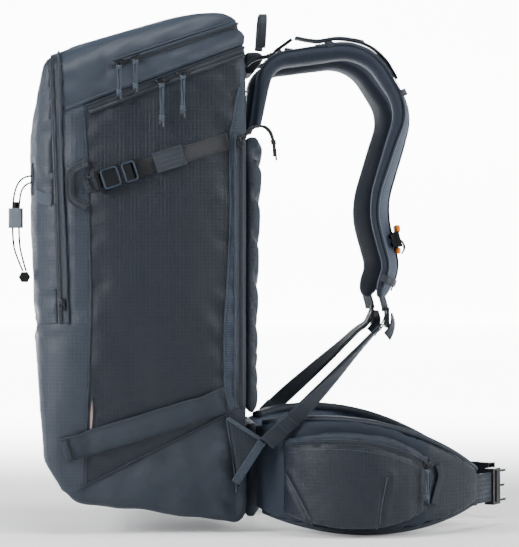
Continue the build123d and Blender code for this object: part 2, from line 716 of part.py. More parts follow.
belt_start, belt_end = Vector(*BELT_WEB_PLAN[0]), Vector(*BELT_WEB_PLAN[1])
belt_dir = (belt_end - belt_start).normalized()
belt_plane = Plane(origin=(belt_start.X, belt_start.Y, BELT_WEB_Z), x_dir=belt_dir,
                   z_dir=(-belt_dir.Y, belt_dir.X, 0))
with BuildPart(belt_plane) as belt_webbing:
    Box((belt_end - belt_start).length, BELT_WEB_HEIGHT, 2.2,
        align=(Align.MIN, Align.CENTER, Align.CENTER))
write_pair(belt_webbing.part, "belt_webbing")

buckle_origin = Vector(belt_end.X, belt_end.Y, BELT_WEB_Z) - belt_plane.z_dir * 6
buckle_plane = Plane(origin=buckle_origin + belt_plane.x_dir, x_dir=belt_plane.x_dir,
                     z_dir=belt_plane.z_dir)
with BuildPart() as hip_buckle_female:
    add(buckle_female(buckle_plane, 34, 46, 12))
    mirror(about=Plane.XZ, mode=Mode.REPLACE)
write(hip_buckle_female.part, "hip_buckle_female")
male_plane = Plane(origin=buckle_plane.origin + buckle_plane.x_dir * 22,
                   x_dir=-buckle_plane.x_dir, z_dir=buckle_plane.z_dir)
write(buckle_male(male_plane, 22, 46, 12, 22), "hip_buckle_male")

# ---------------------------------------------------------------- helmet cord
flap_hits = FORM.find_intersection_points(Axis((-400, CORD_Y, 127), (1, 0, 0)))
exit_x = min(hit[0].X for hit in flap_hits) - GAP
toggle_top = TOGGLE_AT[1] + TOGGLE_RADIUS + 2 * GAP
strand_x, inner_x = CORD_LINES
OUTER_ROUTE = [(exit_x, 131), (exit_x - 13, 131), (strand_x, 106), (strand_x, 48),
               (strand_x + 6, 28), (TOGGLE_AT[0] - 2, toggle_top)]
INNER_ROUTE = [(exit_x, 123), (exit_x - 9, 121), (inner_x, 104), (inner_x, 48),
               (inner_x + 4, 29), (TOGGLE_AT[0] + 2, toggle_top)]
for name, route in (("helmet_cord_outer", OUTER_ROUTE), ("helmet_cord_inner", INNER_ROUTE)):
    write(tube([(x, CORD_Y, z) for x, z in route], CORD_DIAMETER, name), name)

lock_low, lock_high = CORD_LOCK_Z
lock_x = sum(CORD_LINES) / 2
with BuildPart(Plane.XY.offset(lock_low)) as cord_lock_body:
    with Locations((lock_x, CORD_Y + 3.5)):
        Box(*CORD_LOCK_SIZE, lock_high - lock_low, align=(Align.CENTER, Align.CENTER, Align.MIN))
        fillet(cord_lock_body.edges().filter_by(Axis.Z), 3)
    with Locations((strand_x, CORD_Y, 12), (inner_x, CORD_Y, 12)):
        Cylinder(CORD_DIAMETER / 2 + GAP, 60, mode=Mode.SUBTRACT)
    with Locations((lock_x, BUTTON_Y, 8)):
        Cylinder(BUTTON_RADIUS + GAP, 30, align=(Align.CENTER, Align.CENTER, Align.MIN),
                 mode=Mode.SUBTRACT)
write(cord_lock_body.part, "cord_lock_body")
with BuildPart(Plane.XY.offset(lock_low + 13)) as cord_lock_button:
    with Locations((lock_x, BUTTON_Y)):
        Cylinder(BUTTON_RADIUS, 20, align=(Align.CENTER, Align.CENTER, Align.MIN))
write(cord_lock_button.part, "cord_lock_button")
with BuildPart() as cord_toggle:
    with BuildSketch(Plane.XZ.offset(-CORD_Y - 4)):
        with Locations(TOGGLE_AT):
            RegularPolygon(TOGGLE_RADIUS, 6, major_radius=False)
    extrude(amount=8)
write(cord_toggle.part, "cord_toggle")
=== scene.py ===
"""Ski touring backpack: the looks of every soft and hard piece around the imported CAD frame.

Frame: +X points from the bag to the wearer, +Y to the wearer's left, +Z up, in metres.
Outlines and paths are written in millimetres, as the CAD has them, and scaled once.
"""
import json
import math

import bmesh
import bpy
import numpy as np
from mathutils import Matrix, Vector
from mathutils import noise as perlin
from mathutils.bvhtree import BVHTree


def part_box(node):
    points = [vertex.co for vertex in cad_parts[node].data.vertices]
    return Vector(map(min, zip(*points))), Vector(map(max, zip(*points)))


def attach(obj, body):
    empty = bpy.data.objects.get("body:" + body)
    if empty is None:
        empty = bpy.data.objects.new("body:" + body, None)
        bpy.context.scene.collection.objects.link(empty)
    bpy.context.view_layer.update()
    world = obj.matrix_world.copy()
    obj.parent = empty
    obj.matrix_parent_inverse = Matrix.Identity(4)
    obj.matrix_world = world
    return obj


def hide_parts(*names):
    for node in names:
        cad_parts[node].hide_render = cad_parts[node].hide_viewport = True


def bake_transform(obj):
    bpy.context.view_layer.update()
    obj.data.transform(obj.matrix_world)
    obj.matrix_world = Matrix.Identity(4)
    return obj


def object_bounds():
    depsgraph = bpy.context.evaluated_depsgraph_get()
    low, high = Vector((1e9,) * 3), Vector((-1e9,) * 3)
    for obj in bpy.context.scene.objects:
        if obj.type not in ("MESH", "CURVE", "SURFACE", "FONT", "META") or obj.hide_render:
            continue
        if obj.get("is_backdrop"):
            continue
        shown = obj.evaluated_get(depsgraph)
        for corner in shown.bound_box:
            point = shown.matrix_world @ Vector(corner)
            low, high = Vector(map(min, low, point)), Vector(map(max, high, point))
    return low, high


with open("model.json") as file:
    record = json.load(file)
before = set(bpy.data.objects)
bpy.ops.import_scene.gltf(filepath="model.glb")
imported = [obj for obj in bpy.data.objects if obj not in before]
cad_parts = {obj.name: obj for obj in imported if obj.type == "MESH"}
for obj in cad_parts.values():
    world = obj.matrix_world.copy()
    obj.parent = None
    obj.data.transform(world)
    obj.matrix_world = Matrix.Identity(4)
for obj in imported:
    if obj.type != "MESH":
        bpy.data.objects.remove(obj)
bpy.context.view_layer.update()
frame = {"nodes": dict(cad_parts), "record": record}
MM = 0.001
NODES = frame["nodes"]
BODY_OF_NODE = {n: b for b, ns in frame["record"]["behaviour"]["bodies"].items() for n in ns}


# ---------------------------------------------------------------- materials
def linear(rgb):
    """Scene-linear colour from 0-255 values."""
    return [(c / 255 / 12.92) if c <= 10 else ((c / 255 + 0.055) / 1.055) ** 2.4 for c in rgb] + [1]


def paler(rgb, factor, added):
    return linear([min(255, c * factor + added) for c in rgb])


class Shader:
    """One procedural material, built node by node."""

    def __init__(self, name):
        self.material = bpy.data.materials.new(name)
        self.material.use_nodes = True
        self.tree = self.material.node_tree
        self.tree.nodes.clear()
        out = self.tree.nodes.new("ShaderNodeOutputMaterial")
        self.surface = self.tree.nodes.new("ShaderNodeBsdfPrincipled")
        self.tree.links.new(self.surface.outputs[0], out.inputs[0])

    def put(self, socket, value):
        if isinstance(value, bpy.types.NodeSocket):
            self.tree.links.new(value, socket)
        else:
            socket.default_value = value

    def set(self, **values):
        for key, value in values.items():
            self.put(self.surface.inputs[key.replace("_", " ")], value)

    def node(self, kind, inputs=(), **settings):
        """A new node with its settings and inputs; returns its outputs."""
        node = self.tree.nodes.new("ShaderNode" + kind)
        for key, value in settings.items():
            setattr(node, key, value)
        for key, value in dict(inputs).items():
            self.put(node.inputs[key], value)
        return node.outputs

    def math(self, operation, *values):
        return self.node("Math", enumerate(values), operation=operation)[0]

    def coordinates(self, kind="UV"):
        """A point's coordinates: the vector and its three numbers."""
        vector = self.node("TexCoord")[kind]
        return (vector, *self.node("SeparateXYZ", {0: vector}))

    def noise(self, vector, scale, detail=3.0, roughness=0.55):
        return self.node("TexNoise", {"Vector": vector, "Scale": scale, "Detail": detail, "Roughness": roughness})[0]

    def cells(self, vector, scale):
        return self.node("TexVoronoi", {"Vector": vector, "Scale": scale})["Distance"]

    def ramp(self, value, low, high, start=0.0, end=1.0):
        return self.node("MapRange", enumerate((value, low, high, start, end)), interpolation_type="SMOOTHSTEP")[0]

    def mix(self, factor, first, second):
        return self.node("Mix", {0: factor, 6: first, 7: second}, data_type="RGBA")[2]

    def bump(self, height, depth, before=None):
        inputs = {"Strength": 1.0, "Distance": depth, "Height": height}
        if before is not None:
            inputs["Normal"] = before
        return self.node("Bump", inputs)[0]

    def sine(self, value, period):
        """A 0-1 wave of a period in metres."""
        wave = self.math("SINE", self.math("MULTIPLY", value, 2 * math.pi / period))
        return self.math("MULTIPLY_ADD", wave, 0.5, 0.5)

    def lines(self, value, period, share):
        """1 on thin lines a period apart, 0 between them."""
        wave = self.math("ABSOLUTE", self.math("SINE", self.math("MULTIPLY", value, math.pi / period)))
        return self.ramp(wave, 0.0, share, 1.0, 0.0)


def weave_height(s, pattern, u, v, vector, period):
    """The height of a cloth's threads, 0-1, from its two coordinates."""
    if pattern == "twill":
        return s.sine(s.math("ADD", u, v), period)
    if pattern == "ribs":
        return s.sine(v, period)
    if pattern == "webbing":
        chevron = s.math("PINGPONG", u, 0.0028)
        return s.sine(s.math("ADD", v, chevron), period)
    if pattern == "mesh":
        return s.ramp(s.cells(vector, 1 / period), 0.12, 0.42, 0.0, 1.0)
    plain = s.math("MULTIPLY", s.sine(u, period), s.sine(v, period))
    if pattern == "ripstop":
        grid = s.math("MAXIMUM", s.lines(u, 0.0046, 0.34), s.lines(v, 0.0046, 0.34))
        return s.math("MULTIPLY_ADD", grid, 0.75, s.math("MULTIPLY", plain, 0.35))
    return plain


def fabric(name, rgb, pattern="plain", period=0.0009, depth=0.00025, roughness=0.62, sheen=0.25,
           contrast=0.25, folds=0.0008, fold_scale=38.0, gloss=0.4):
    """Cloth with its weave, uneven dye, rubbed lighter spots and small folds."""
    s = Shader(name)
    vector, u, v, _ = s.coordinates("UV")
    place = s.coordinates("Object")[0]
    threads = weave_height(s, pattern, u, v, vector, period)
    dye = s.noise(place, 9.0)
    fine = s.noise(place, 420.0, 2.0)
    dark = linear([c * (1 - contrast) for c in rgb])
    light = paler(rgb, 1 + 0.55 * contrast, 2)
    colour = s.mix(threads, dark, light)
    colour = s.mix(s.ramp(dye, 0.35, 0.75, 0.0, 0.35), colour, linear([c * 0.82 for c in rgb]))
    rubbed = s.ramp(s.noise(place, 60.0, 5.0, 0.7), 0.58, 0.8, 0.0, 0.22)
    colour = s.mix(rubbed, colour, paler(rgb, 1.25, 10))
    rough = s.math("MULTIPLY_ADD", fine, 0.18, roughness - 0.09)
    normal = s.bump(s.noise(place, fold_scale, 3.0), folds)
    normal = s.bump(threads, depth, normal)
    s.set(Base_Color=colour, Roughness=rough, Normal=normal, Sheen_Weight=sheen, Sheen_Roughness=0.4,
          Specular_IOR_Level=gloss)
    s.put(s.surface.inputs["Sheen Tint"], paler(rgb, 1.6, 40))
    return s.material


def plastic(name, rgb, roughness=0.38, grain=0.00006, edge=0.25):
    """Moulded plastic: fine spark texture, slightly paler rubbed spots."""
    s = Shader(name)
    place = s.coordinates("Object")[0]
    grit = s.noise(place, 1800.0, 2.0)
    haze = s.noise(place, 45.0, 4.0, 0.6)
    colour = s.mix(s.ramp(haze, 0.45, 0.75, 0.0, edge), linear(rgb), paler(rgb, 1.4, 14))
    s.set(Base_Color=colour, Roughness=s.math("MULTIPLY_ADD", haze, 0.2, roughness - 0.08),
          Normal=s.bump(grit, grain), Specular_IOR_Level=0.22)
    return s.material


def metal(name, rgb, roughness=0.35, painted=0.0):
    """Cast or drawn metal with fine scratches."""
    s = Shader(name)
    place = s.coordinates("Object")[0]
    scratch = s.noise(place, 600.0, 4.0, 0.7)
    cloud = s.noise(place, 70.0, 3.0)
    colour = s.mix(s.ramp(scratch, 0.5, 0.8, 0.0, 0.35), linear(rgb), paler(rgb, 1.3, 12))
    s.set(Base_Color=colour, Metallic=1.0 - painted,
          Roughness=s.math("MULTIPLY_ADD", cloud, 0.25, roughness - 0.1),
          Normal=s.bump(scratch, 0.00004))
    return s.material


# Colour, weave, its period and depth, roughness, sheen, contrast, fold depth, fold scale, gloss.
CLOTHS = {
    "ripstop": ((15, 24, 36), "ripstop", 0.0008, 0.00022, 0.48, 0.06, 0.16, 0.0011, 30, 0.3),
    "front_cloth": ((34, 43, 56), "ripstop", 0.0008, 0.0002, 0.52, 0.3, 0.16),
    "base_cloth": ((28, 38, 51), "plain", 0.0011, 0.0003, 0.52, 0.2, 0.2, 0.0016, 34, 0.35),
    "lid_twill": ((36, 46, 59), "twill", 0.0016, 0.00025, 0.5, 0.35, 0.18, 0.0009, 26),
    "stretch_rib": ((38, 49, 62), "ribs", 0.0021, 0.0004, 0.62, 0.4, 0.3),
    "foam_knit": ((25, 34, 47), "plain", 0.0007, 0.0001, 0.75, 0.4, 0.1, 0.0004, 24, 0.3),
    "air_mesh": ((38, 48, 61), "mesh", 0.0021, 0.0005, 0.7, 0.4, 0.45, 0.0004),
    "binding": ((20, 29, 41), "ribs", 0.0012, 0.0002, 0.6, 0.3, 0.25, 0.0002),
    "dark_webbing": ((21, 30, 42), "webbing", 0.0016, 0.0004, 0.55, 0.3, 0.35, 0.0002),
    "grey_webbing": ((35, 43, 54), "webbing", 0.0016, 0.0004, 0.55, 0.3, 0.3, 0.0002),
    "brown_twill": ((38, 40, 44), "twill", 0.0014, 0.0003, 0.6, 0.2, 0.3, 0.0002),
    "zip_tape": ((17, 26, 38), "ribs", 0.0009, 0.00015, 0.5, 0.15, 0.25, 0.0002),
    "lining": ((150, 156, 163), "plain", 0.0008, 0.0001, 0.6, 0.2, 0.1, 0.0012, 22),
    "back_mesh": ((24, 31, 40), "mesh", 0.0028, 0.0006, 0.7, 0.4, 0.5, 0.0004),
    "cord": ((60, 70, 82), "twill", 0.0011, 0.0003, 0.55, 0.3, 0.35, 0.0001),
    "black_cord": ((15, 19, 24), "twill", 0.0011, 0.0003, 0.55, 0.2, 0.15, 0.0001),
    "thread": ((118, 130, 146), "twill", 0.0006, 0.0001, 0.6, 0.3, 0.2, 0.0001),
    "dark_thread": ((20, 26, 33), "twill", 0.0006, 0.0001, 0.6, 0.2, 0.2, 0.0001),
    "pink_lining": ((150, 128, 124), "plain", 0.0008, 0.0001, 0.6, 0.2, 0.1),
    "tag": ((52, 62, 74), "plain", 0.001, 0.0002, 0.6, 0.2, 0.15),
}
# Colour, roughness, grain, paler edge.
PLASTICS = {
    "orange": ((236, 126, 50), 0.5),
    "buckle": ((11, 14, 19), 0.34, 0.00006, 0.1),
    # The next colour is painted highlight: a paler blue along the black buckles' edges.
    "buckle_rim": ((36, 47, 60), 0.3),
    "rubber": ((12, 13, 15), 0.5),
    "frame_plastic": ((196, 198, 196), 0.5),
}
# Colour, roughness, share of paint.
METALS = {
    "silver": ((118, 126, 136), 0.26),
    "slider": ((20, 24, 30), 0.3, 0.6),
    "aluminium": ((176, 180, 184), 0.34),
}
MATERIALS = {name: make(name, *values) for make, table in ((fabric, CLOTHS), (plastic, PLASTICS), (metal, METALS))
             for name, values in table.items()}


# ---------------------------------------------------------------- mesh helpers
def add_object(name, data):
    """A new object in the scene."""
    obj = bpy.data.objects.new(name, data)
    bpy.context.scene.collection.objects.link(obj)
    return obj


def read(items, key, width=3, kind=float):
    """One attribute of a mesh's items as rows of numbers."""
    values = np.zeros(len(items) * width, kind)
    items.foreach_get(key, values)
    return values.reshape(-1, width) if width > 1 else values


def set_materials(data, names):
    for name in names:
        data.materials.append(MATERIALS[name])


def finish_mesh(name, points, faces, materials, face_material=None, uv=None):
    """An object from points in metres and faces, with a material for each face."""
    data = bpy.data.meshes.new(name)
    data.from_pydata([tuple(map(float, p)) for p in points], [], [tuple(map(int, f)) for f in faces])
    set_materials(data, materials)
    if face_material is not None:
        data.polygons.foreach_set("material_index", np.asarray(face_material, np.int32))
    data.polygons.foreach_set("use_smooth", [True] * len(data.polygons))
    obj = add_object(name, data)
    if uv is None:
        box_uv(data)
    else:
        loops = read(data.loops, "vertex_index", 1, np.int32)
        data.uv_layers.new(name="uv").data.foreach_set("uv", np.asarray(uv, float)[loops].ravel())
    return obj


def box_uv(data):
    """UVs in metres, each face seen along its own main axis."""
    layer = data.uv_layers.get("uv") or data.uv_layers.new(name="uv")
    loops = read(data.loops, "vertex_index", 1, np.int32)
    sizes = read(data.polygons, "loop_total", 1, np.int32)
    axis = np.repeat(np.abs(read(data.polygons, "normal")).argmax(1), sizes)
    spots = read(data.vertices, "co")[loops]
    rows = np.arange(len(loops))
    layer.data.foreach_set("uv", np.stack([spots[rows, np.where(axis == 0, 1, 0)],
                                           spots[rows, np.where(axis == 2, 1, 2)]], 1).ravel())


def mirror_copy(obj, name):
    """The other side's piece: the mesh mirrored across the bag's middle."""
    data = obj.data.copy()
    data.name = name
    data.vertices.foreach_set("co", (read(data.vertices, "co") * [1, -1, 1]).ravel())
    data.flip_normals()
    return add_object(name, data)


def bevel(obj, width, segments=2):
    """Rounds an object's sharp edges."""
    m = obj.modifiers.new("Bevel", "BEVEL")
    m.width = width
    m.segments = segments
    m.limit_method = "ANGLE"
    m.angle_limit = math.radians(35)
    return obj


def apply_modifiers(obj):
    """Makes the modified mesh the object's own."""
    graph = bpy.context.evaluated_depsgraph_get()
    data = bpy.data.meshes.new_from_object(obj.evaluated_get(graph))
    obj.modifiers.clear()
    obj.data = data
    return obj


def subdivided(obj):
    """The object smoothed by one level of subdivision."""
    m = obj.modifiers.new("Subsurf", "SUBSURF")
    m.levels = m.render_levels = 1
    return apply_modifiers(obj)


def unit(v):
    v = np.asarray(v, float)
    return v / np.maximum(np.linalg.norm(v, axis=-1, keepdims=True), 1e-12)


def tangents(path):
    return unit(np.gradient(path, axis=0))


def arc_lengths(path):
    return np.concatenate([[0], np.cumsum(np.linalg.norm(np.diff(path, axis=0), axis=1))])


def even(path, step):
    """The same path with evenly spaced points."""
    path = np.asarray(path, float)
    along = arc_lengths(path)
    count = max(3, int(round(along[-1] / step)) + 1)
    spots = np.linspace(0, along[-1], count)
    return np.stack([np.interp(spots, along, path[:, k]) for k in range(path.shape[1])], 1)


def rounded_path(points, radii, segments=10, closed=False):
    """A path of straight runs with round corners, as the CAD's sketches have."""
    pts = [np.asarray(p, float) for p in points]
    count = len(pts)
    made = []
    for i, corner in enumerate(pts):
        if not closed and i in (0, count - 1):
            made.append(corner)
            continue
        before, after = pts[i - 1], pts[(i + 1) % count]
        radius = radii[i] if closed else radii[i - 1]
        a, b = unit(before - corner), unit(after - corner)
        half = math.acos(np.clip(a @ b, -1, 1)) / 2
        reach = radius / math.tan(half)
        centre = corner + unit(a + b) * radius / math.sin(half)
        start, stop = corner + a * reach - centre, corner + b * reach - centre
        turn = math.acos(np.clip(unit(start) @ unit(stop), -1, 1))
        for k in range(segments + 1):
            t = k / segments
            made.append(centre + (start * math.sin((1 - t) * turn) + stop * math.sin(t * turn))
                        / max(math.sin(turn), 1e-9))
    return np.array(made)


def curve_through(points, step=4.0):
    """An even, smooth path through points (centripetal-like cardinal spline)."""
    p = np.asarray(points, float)
    p = np.vstack([2 * p[0] - p[1], p, 2 * p[-1] - p[-2]])
    made = []
    for a, b, c, d in zip(p, p[1:], p[2:], p[3:]):
        for t in np.linspace(0, 1, 16, endpoint=False):
            made.append(0.5 * (2 * b + (c - a) * t + (2 * a - 5 * b + 4 * c - d) * t**2
                               + (3 * b - a - 3 * c + d) * t**3))
    made.append(p[-2])
    return even(np.array(made), step)


def loft(name, rings, materials, caps=True, face_material=None):
    """A skin over a row of equal rings (an N x M x 3 array in metres)."""
    rings = np.asarray(rings, float)
    rows, cols = rings.shape[:2]
    points = rings.reshape(-1, 3)
    faces, kinds = [], []
    for i in range(rows - 1):
        for j in range(cols):
            a, b = i * cols + j, i * cols + (j + 1) % cols
            faces.append((a, b, b + cols, a + cols))
            kinds.append(0 if face_material is None else face_material(i / (rows - 1), j / cols))
    around = np.linalg.norm(np.diff(np.concatenate([rings, rings[:, :1]], 1), axis=1), axis=2)
    u = np.concatenate([np.zeros((rows, 1)), np.cumsum(around, 1)[:, :-1]], 1)
    along = arc_lengths(rings.mean(1))
    uv = np.stack([u, np.repeat(along[:, None], cols, 1)], 2).reshape(-1, 2)
    if caps:
        for start, flip in ((0, True), ((rows - 1) * cols, False)):
            face = list(range(start, start + cols))
            faces.append(tuple(reversed(face)) if flip else tuple(face))
            kinds.append(kinds[0])
    obj = finish_mesh(name, points, faces, materials, kinds, uv)
    bm = bmesh.new()
    bm.from_mesh(obj.data)
    bmesh.ops.recalc_face_normals(bm, faces=bm.faces)
    bm.to_mesh(obj.data)
    bm.free()
    return obj


def section(width, thick, corner=0.35, count=4):
    """A rounded rectangle as points (across, up), anticlockwise."""
    r = min(thick, width) * corner
    points = []
    for cx, cy, start in ((1, -1, -90), (1, 1, 0), (-1, 1, 90), (-1, -1, 180)):
        for k in range(count + 1):
            a = math.radians(start + 90 * k / count)
            points.append((cx * (width / 2 - r) + r * math.cos(a), cy * (thick / 2 - r) + r * math.sin(a)))
    return np.array(points)


def pillow_section(width, thick, power=2.6, count=28):
    """A padded strap's section: nearly flat faces and full round edges."""
    a = np.linspace(0, 2 * math.pi, count, endpoint=False) + math.pi / 2
    c, s = np.cos(a), np.sin(a)
    return np.stack([np.sign(c) * np.abs(c) ** (2 / power) * width / 2,
                     np.sign(s) * np.abs(s) ** (2 / 2.2) * thick / 2 * (0.55 + 0.45 * (1 - np.abs(c) ** 3))], 1)


def swept(name, path, normals, profile, materials, scale=None, **options):
    """A section swept along a path in millimetres; normals point to the section's up side."""
    path, normals = np.asarray(path, float), np.asarray(normals, float)
    if normals.ndim == 1:
        normals = np.repeat(normals[None], len(path), 0)
    t = tangents(path)
    up = unit(normals - t * (normals * t).sum(1, keepdims=True))
    across = np.cross(t, up)
    profile = np.asarray(profile, float)
    if profile.ndim == 2:
        profile = np.repeat(profile[None], len(path), 0)
    if scale is not None:
        profile = profile * np.asarray(scale, float)[:, None, :]
    rings = path[:, None] + profile[..., :1] * across[:, None] + profile[..., 1:] * up[:, None]
    return loft(name, rings * MM, materials, **options)


def join(name, objs):
    """One object from several, each keeping its materials."""
    bm = bmesh.new()
    slots, index = [], {}
    uv_layer = bm.loops.layers.uv.new("uv")
    for obj in objs:
        start = len(bm.faces)
        bm.from_mesh(obj.data)
        bm.faces.ensure_lookup_table()
        for face in bm.faces[start:]:
            material = obj.data.materials[face.material_index]
            if material.name not in index:
                index[material.name] = len(slots)
                slots.append(material)
            face.material_index = index[material.name]
    data = bpy.data.meshes.new(name)
    bm.to_mesh(data)
    bm.free()
    for material in slots:
        data.materials.append(material)
    for obj in objs:
        bpy.data.objects.remove(obj)
    return add_object(name, data)


def dashes(name, path, normals, material="thread", dash=2.3, gap=1.3, radius=0.32, lift=0.1):
    """A row of stitches lying on a surface."""
    path = even(np.hstack([path, normals]), 0.6)
    path, normals = path[:, :3], unit(path[:, 3:])
    along = arc_lengths(path)
    count = int(along[-1] // (dash + gap))
    points, faces = [], []
    ring = [(math.cos(a), math.sin(a)) for a in np.linspace(0, 2 * math.pi, 6, endpoint=False)]
    for k in range(count):
        spots = (k * (dash + gap) + 0.5 * gap + np.array([0, 0.25, 0.75, 1]) * dash)
        centre = np.stack([np.interp(spots, along, path[:, i]) for i in range(3)], 1)
        up = unit(np.stack([np.interp(spots, along, normals[:, i]) for i in range(3)], 1))
        run = unit(centre[-1] - centre[0])
        across = unit(np.cross(run, up))
        heights = np.array([-0.3, 1, 1, -0.3]) * radius + lift
        base = len(points)
        for c, u, w, h in zip(centre, up, across, heights):
            points += [c + u * (h + radius * y) + w * radius * x for x, y in ring]
        for i in range(3):
            for j in range(6):
                a, b = base + i * 6 + j, base + i * 6 + (j + 1) % 6
                faces.append((a, b, b + 6, a + 6))
    return finish_mesh(name, np.array(points) * MM, faces, [material])


# ---------------------------------------------------------------- the bag's form
SIDE_OUTLINE = [((-12, -299), 16), ((-12, 296), 22), ((-32, 332), 18), ((-95, 334), 140),
                ((-262, 286), 16), ((-284, 170), 150), ((-282, 70), 300), ((-264, -222), 26),
                ((-234, -268), 26)]
PLAN_OUTLINE = [((-12, 124), 16), ((-140, 158), 300), ((-262, 136), 60), ((-287, 60), 110)]
CROSS_OUTLINE = [((112, -323), 30), ((152, 20), 1200), ((132, 338), 34)]
CROSS_TOP = ((0, 360), 300)
TOP_SLOPE = math.radians(17)
LID_EDGE = (-245.0, 205.5, 21.0)
POCKET_ZIP = (-186.0, 259.0, 18.6)
BOTTOM_SEAM = (-218.5, -255.0, 26.9)
FLAP_FOOT = (-245.5, -52.0)
FLAP_TOP = (-257.5, 290.0)
RIM_DEPTH = 15.0
FRONT_SEAM = [(-212, -300), (-212, -225), (-208.8, -131), (-205.1, -39), (-207.5, 76), (-209.4, 147),
              (-214.9, 217), (-217, 300)]
REAR_SEAM = [(-25.4, -300), (-25.4, -257), (-31.5, -210), (-37.6, -173), (-41.3, -127), (-41.3, -61),
             (-34, 61), (-33.9, 184), (-30.3, 200), (-26.6, 225), (-20, 250), (-17, 300)]


def half_spaces(outline, first, second):
    """Normals and offsets of the half spaces that bound a rounded outline's prism."""
    points = rounded_path([p for p, r in outline], [r for p, r in outline], 14, closed=True)
    runs = np.roll(points, -1, 0) - points
    keep = np.linalg.norm(runs, axis=1) > 1e-6
    points, runs = points[keep], unit(runs[keep])
    flat = np.stack([runs[:, 1], -runs[:, 0]], 1)
    middle = points.mean(0)
    sign = np.sign(((points - middle) * flat).sum(1))
    flat *= sign[:, None]
    return flat[:, :1] * np.asarray(first) + flat[:, 1:] * np.asarray(second), (points * flat).sum(1)


ACROSS, UP, ALONG_X = (0.0, 1.0, 0.0), (0.0, 0.0, 1.0), (1.0, 0.0, 0.0)
FORM_SPACES = [
    half_spaces(SIDE_OUTLINE, ALONG_X, UP),
    half_spaces(PLAN_OUTLINE + [((x, -y), r) for (x, y), r in reversed(PLAN_OUTLINE)], ALONG_X, ACROSS),
    half_spaces(CROSS_OUTLINE + [CROSS_TOP] + [((-y, h), r) for (y, h), r in reversed(CROSS_OUTLINE)],
                ACROSS, (-math.sin(TOP_SLOPE), 0.0, math.cos(TOP_SLOPE))),
]
CREASE_SOFTNESS = 4.0


def form_reach(origin, direction):
    """How far the form's surface is from inner points, with its creases softened."""
    reaches = []
    for normals, offsets in FORM_SPACES:
        slope = direction @ normals.T
        room = offsets[None] - origin @ normals.T
        reach = np.where(slope > 1e-6, room / np.maximum(slope, 1e-6), 1e6)
        reaches.append(reach.min(1))
    reaches = np.array(reaches)
    least = reaches.min(0)
    return least - CREASE_SOFTNESS * np.log(np.exp(-(reaches - least) / CREASE_SOFTNESS).sum(0))


def on_line(line, x):
    return line[1] + (x - line[0]) * math.tan(math.radians(line[2]))


def over_line(line, x, z):
    """Height above a sloping line, square to it."""
    return (z - on_line(line, x)) * math.cos(math.radians(line[2]))


def seam_x(seam, z):
    seam = np.array(seam, float)
    return np.interp(z, seam[:, 1], seam[:, 0])


def flap_x(z):
    return FLAP_FOOT[0] + (FLAP_TOP[0] - FLAP_FOOT[0]) * (z - FLAP_FOOT[1]) / (FLAP_TOP[1] - FLAP_FOOT[1])


def soft_step(value, low, high):
    t = np.clip((value - low) / (high - low), 0, 1)
    return t * t * (3 - 2 * t)


def noise_at(points, scale, shift):
    """Smooth noise at points in millimetres."""
    return np.array([perlin.noise(Vector(p) / scale + Vector(shift)) for p in points])


def perlin_at(points, scale, seed):
    """Noise for the bag's cloth, about -1 to 1."""
    return noise_at(points, scale, (seed * 7.31, seed * 3.17, seed * 5.71)) * 1.6


SIDE_ROWS, SIDE_COLUMNS = 134, (9, 42, 11)
SIDE_INSET = 14.0
SIDE_LOW, SIDE_HIGH = -296.0 + SIDE_INSET, 330.0 - SIDE_INSET
RING_FAN, RING_FLAT = 5, 52
RING_RADIUS = 15.0


def side_domain():
    """Rows and columns over the side panel (X, Z), lined up with its two upright seams."""
    rear = -12.0 - SIDE_INSET * 0.9
    outline = rounded_path([p for p, r in SIDE_OUTLINE], [r for p, r in SIDE_OUTLINE], 14, closed=True)
    front_z, front_x = [], []
    for z in np.linspace(-290, 330, 200):
        hits = []
        for a, b in zip(outline, np.roll(outline, -1, 0)):
            if (a[1] - z) * (b[1] - z) <= 0 and a[1] != b[1]:
                hits.append(a[0] + (b[0] - a[0]) * (z - a[1]) / (b[1] - a[1]))
        front_z.append(z)
        front_x.append(min(hits))
    grid = np.zeros((SIDE_ROWS + 1, sum(SIDE_COLUMNS) + 1, 2))
    for j, share in enumerate(np.linspace(0, 1, SIDE_ROWS + 1)):
        x = np.full(sum(SIDE_COLUMNS) + 1, -140.0)
        # A row's height depends on where its points are, so it is settled in three passes.
        for _ in range(3):
            low = SIDE_LOW + np.clip(-20 - x, 0, 300) * 0.115
            high = np.minimum(SIDE_HIGH, on_line((-262, 286, 17.0), x) - SIDE_INSET)
            z = low + (high - low) * share
            front = np.interp(z, front_z, front_x) + SIDE_INSET
            front_seam = np.maximum(seam_x(FRONT_SEAM, z), front + 18)
            rear_seam = np.minimum(seam_x(REAR_SEAM, z) - 4 * soft_step(z, 200, 290), rear - 3.0)
            t = np.arange(sum(SIDE_COLUMNS) + 1)
            a, b, c = SIDE_COLUMNS
            x = np.where(t <= a, rear + (rear_seam - rear) * t / a,
                         np.where(t <= a + b, rear_seam + (front_seam - rear_seam) * (t - a) / b,
                                  front_seam + (front - front_seam) * (t - a - b) / c))
        grid[j, :, 0], grid[j, :, 1] = x, z
    return grid


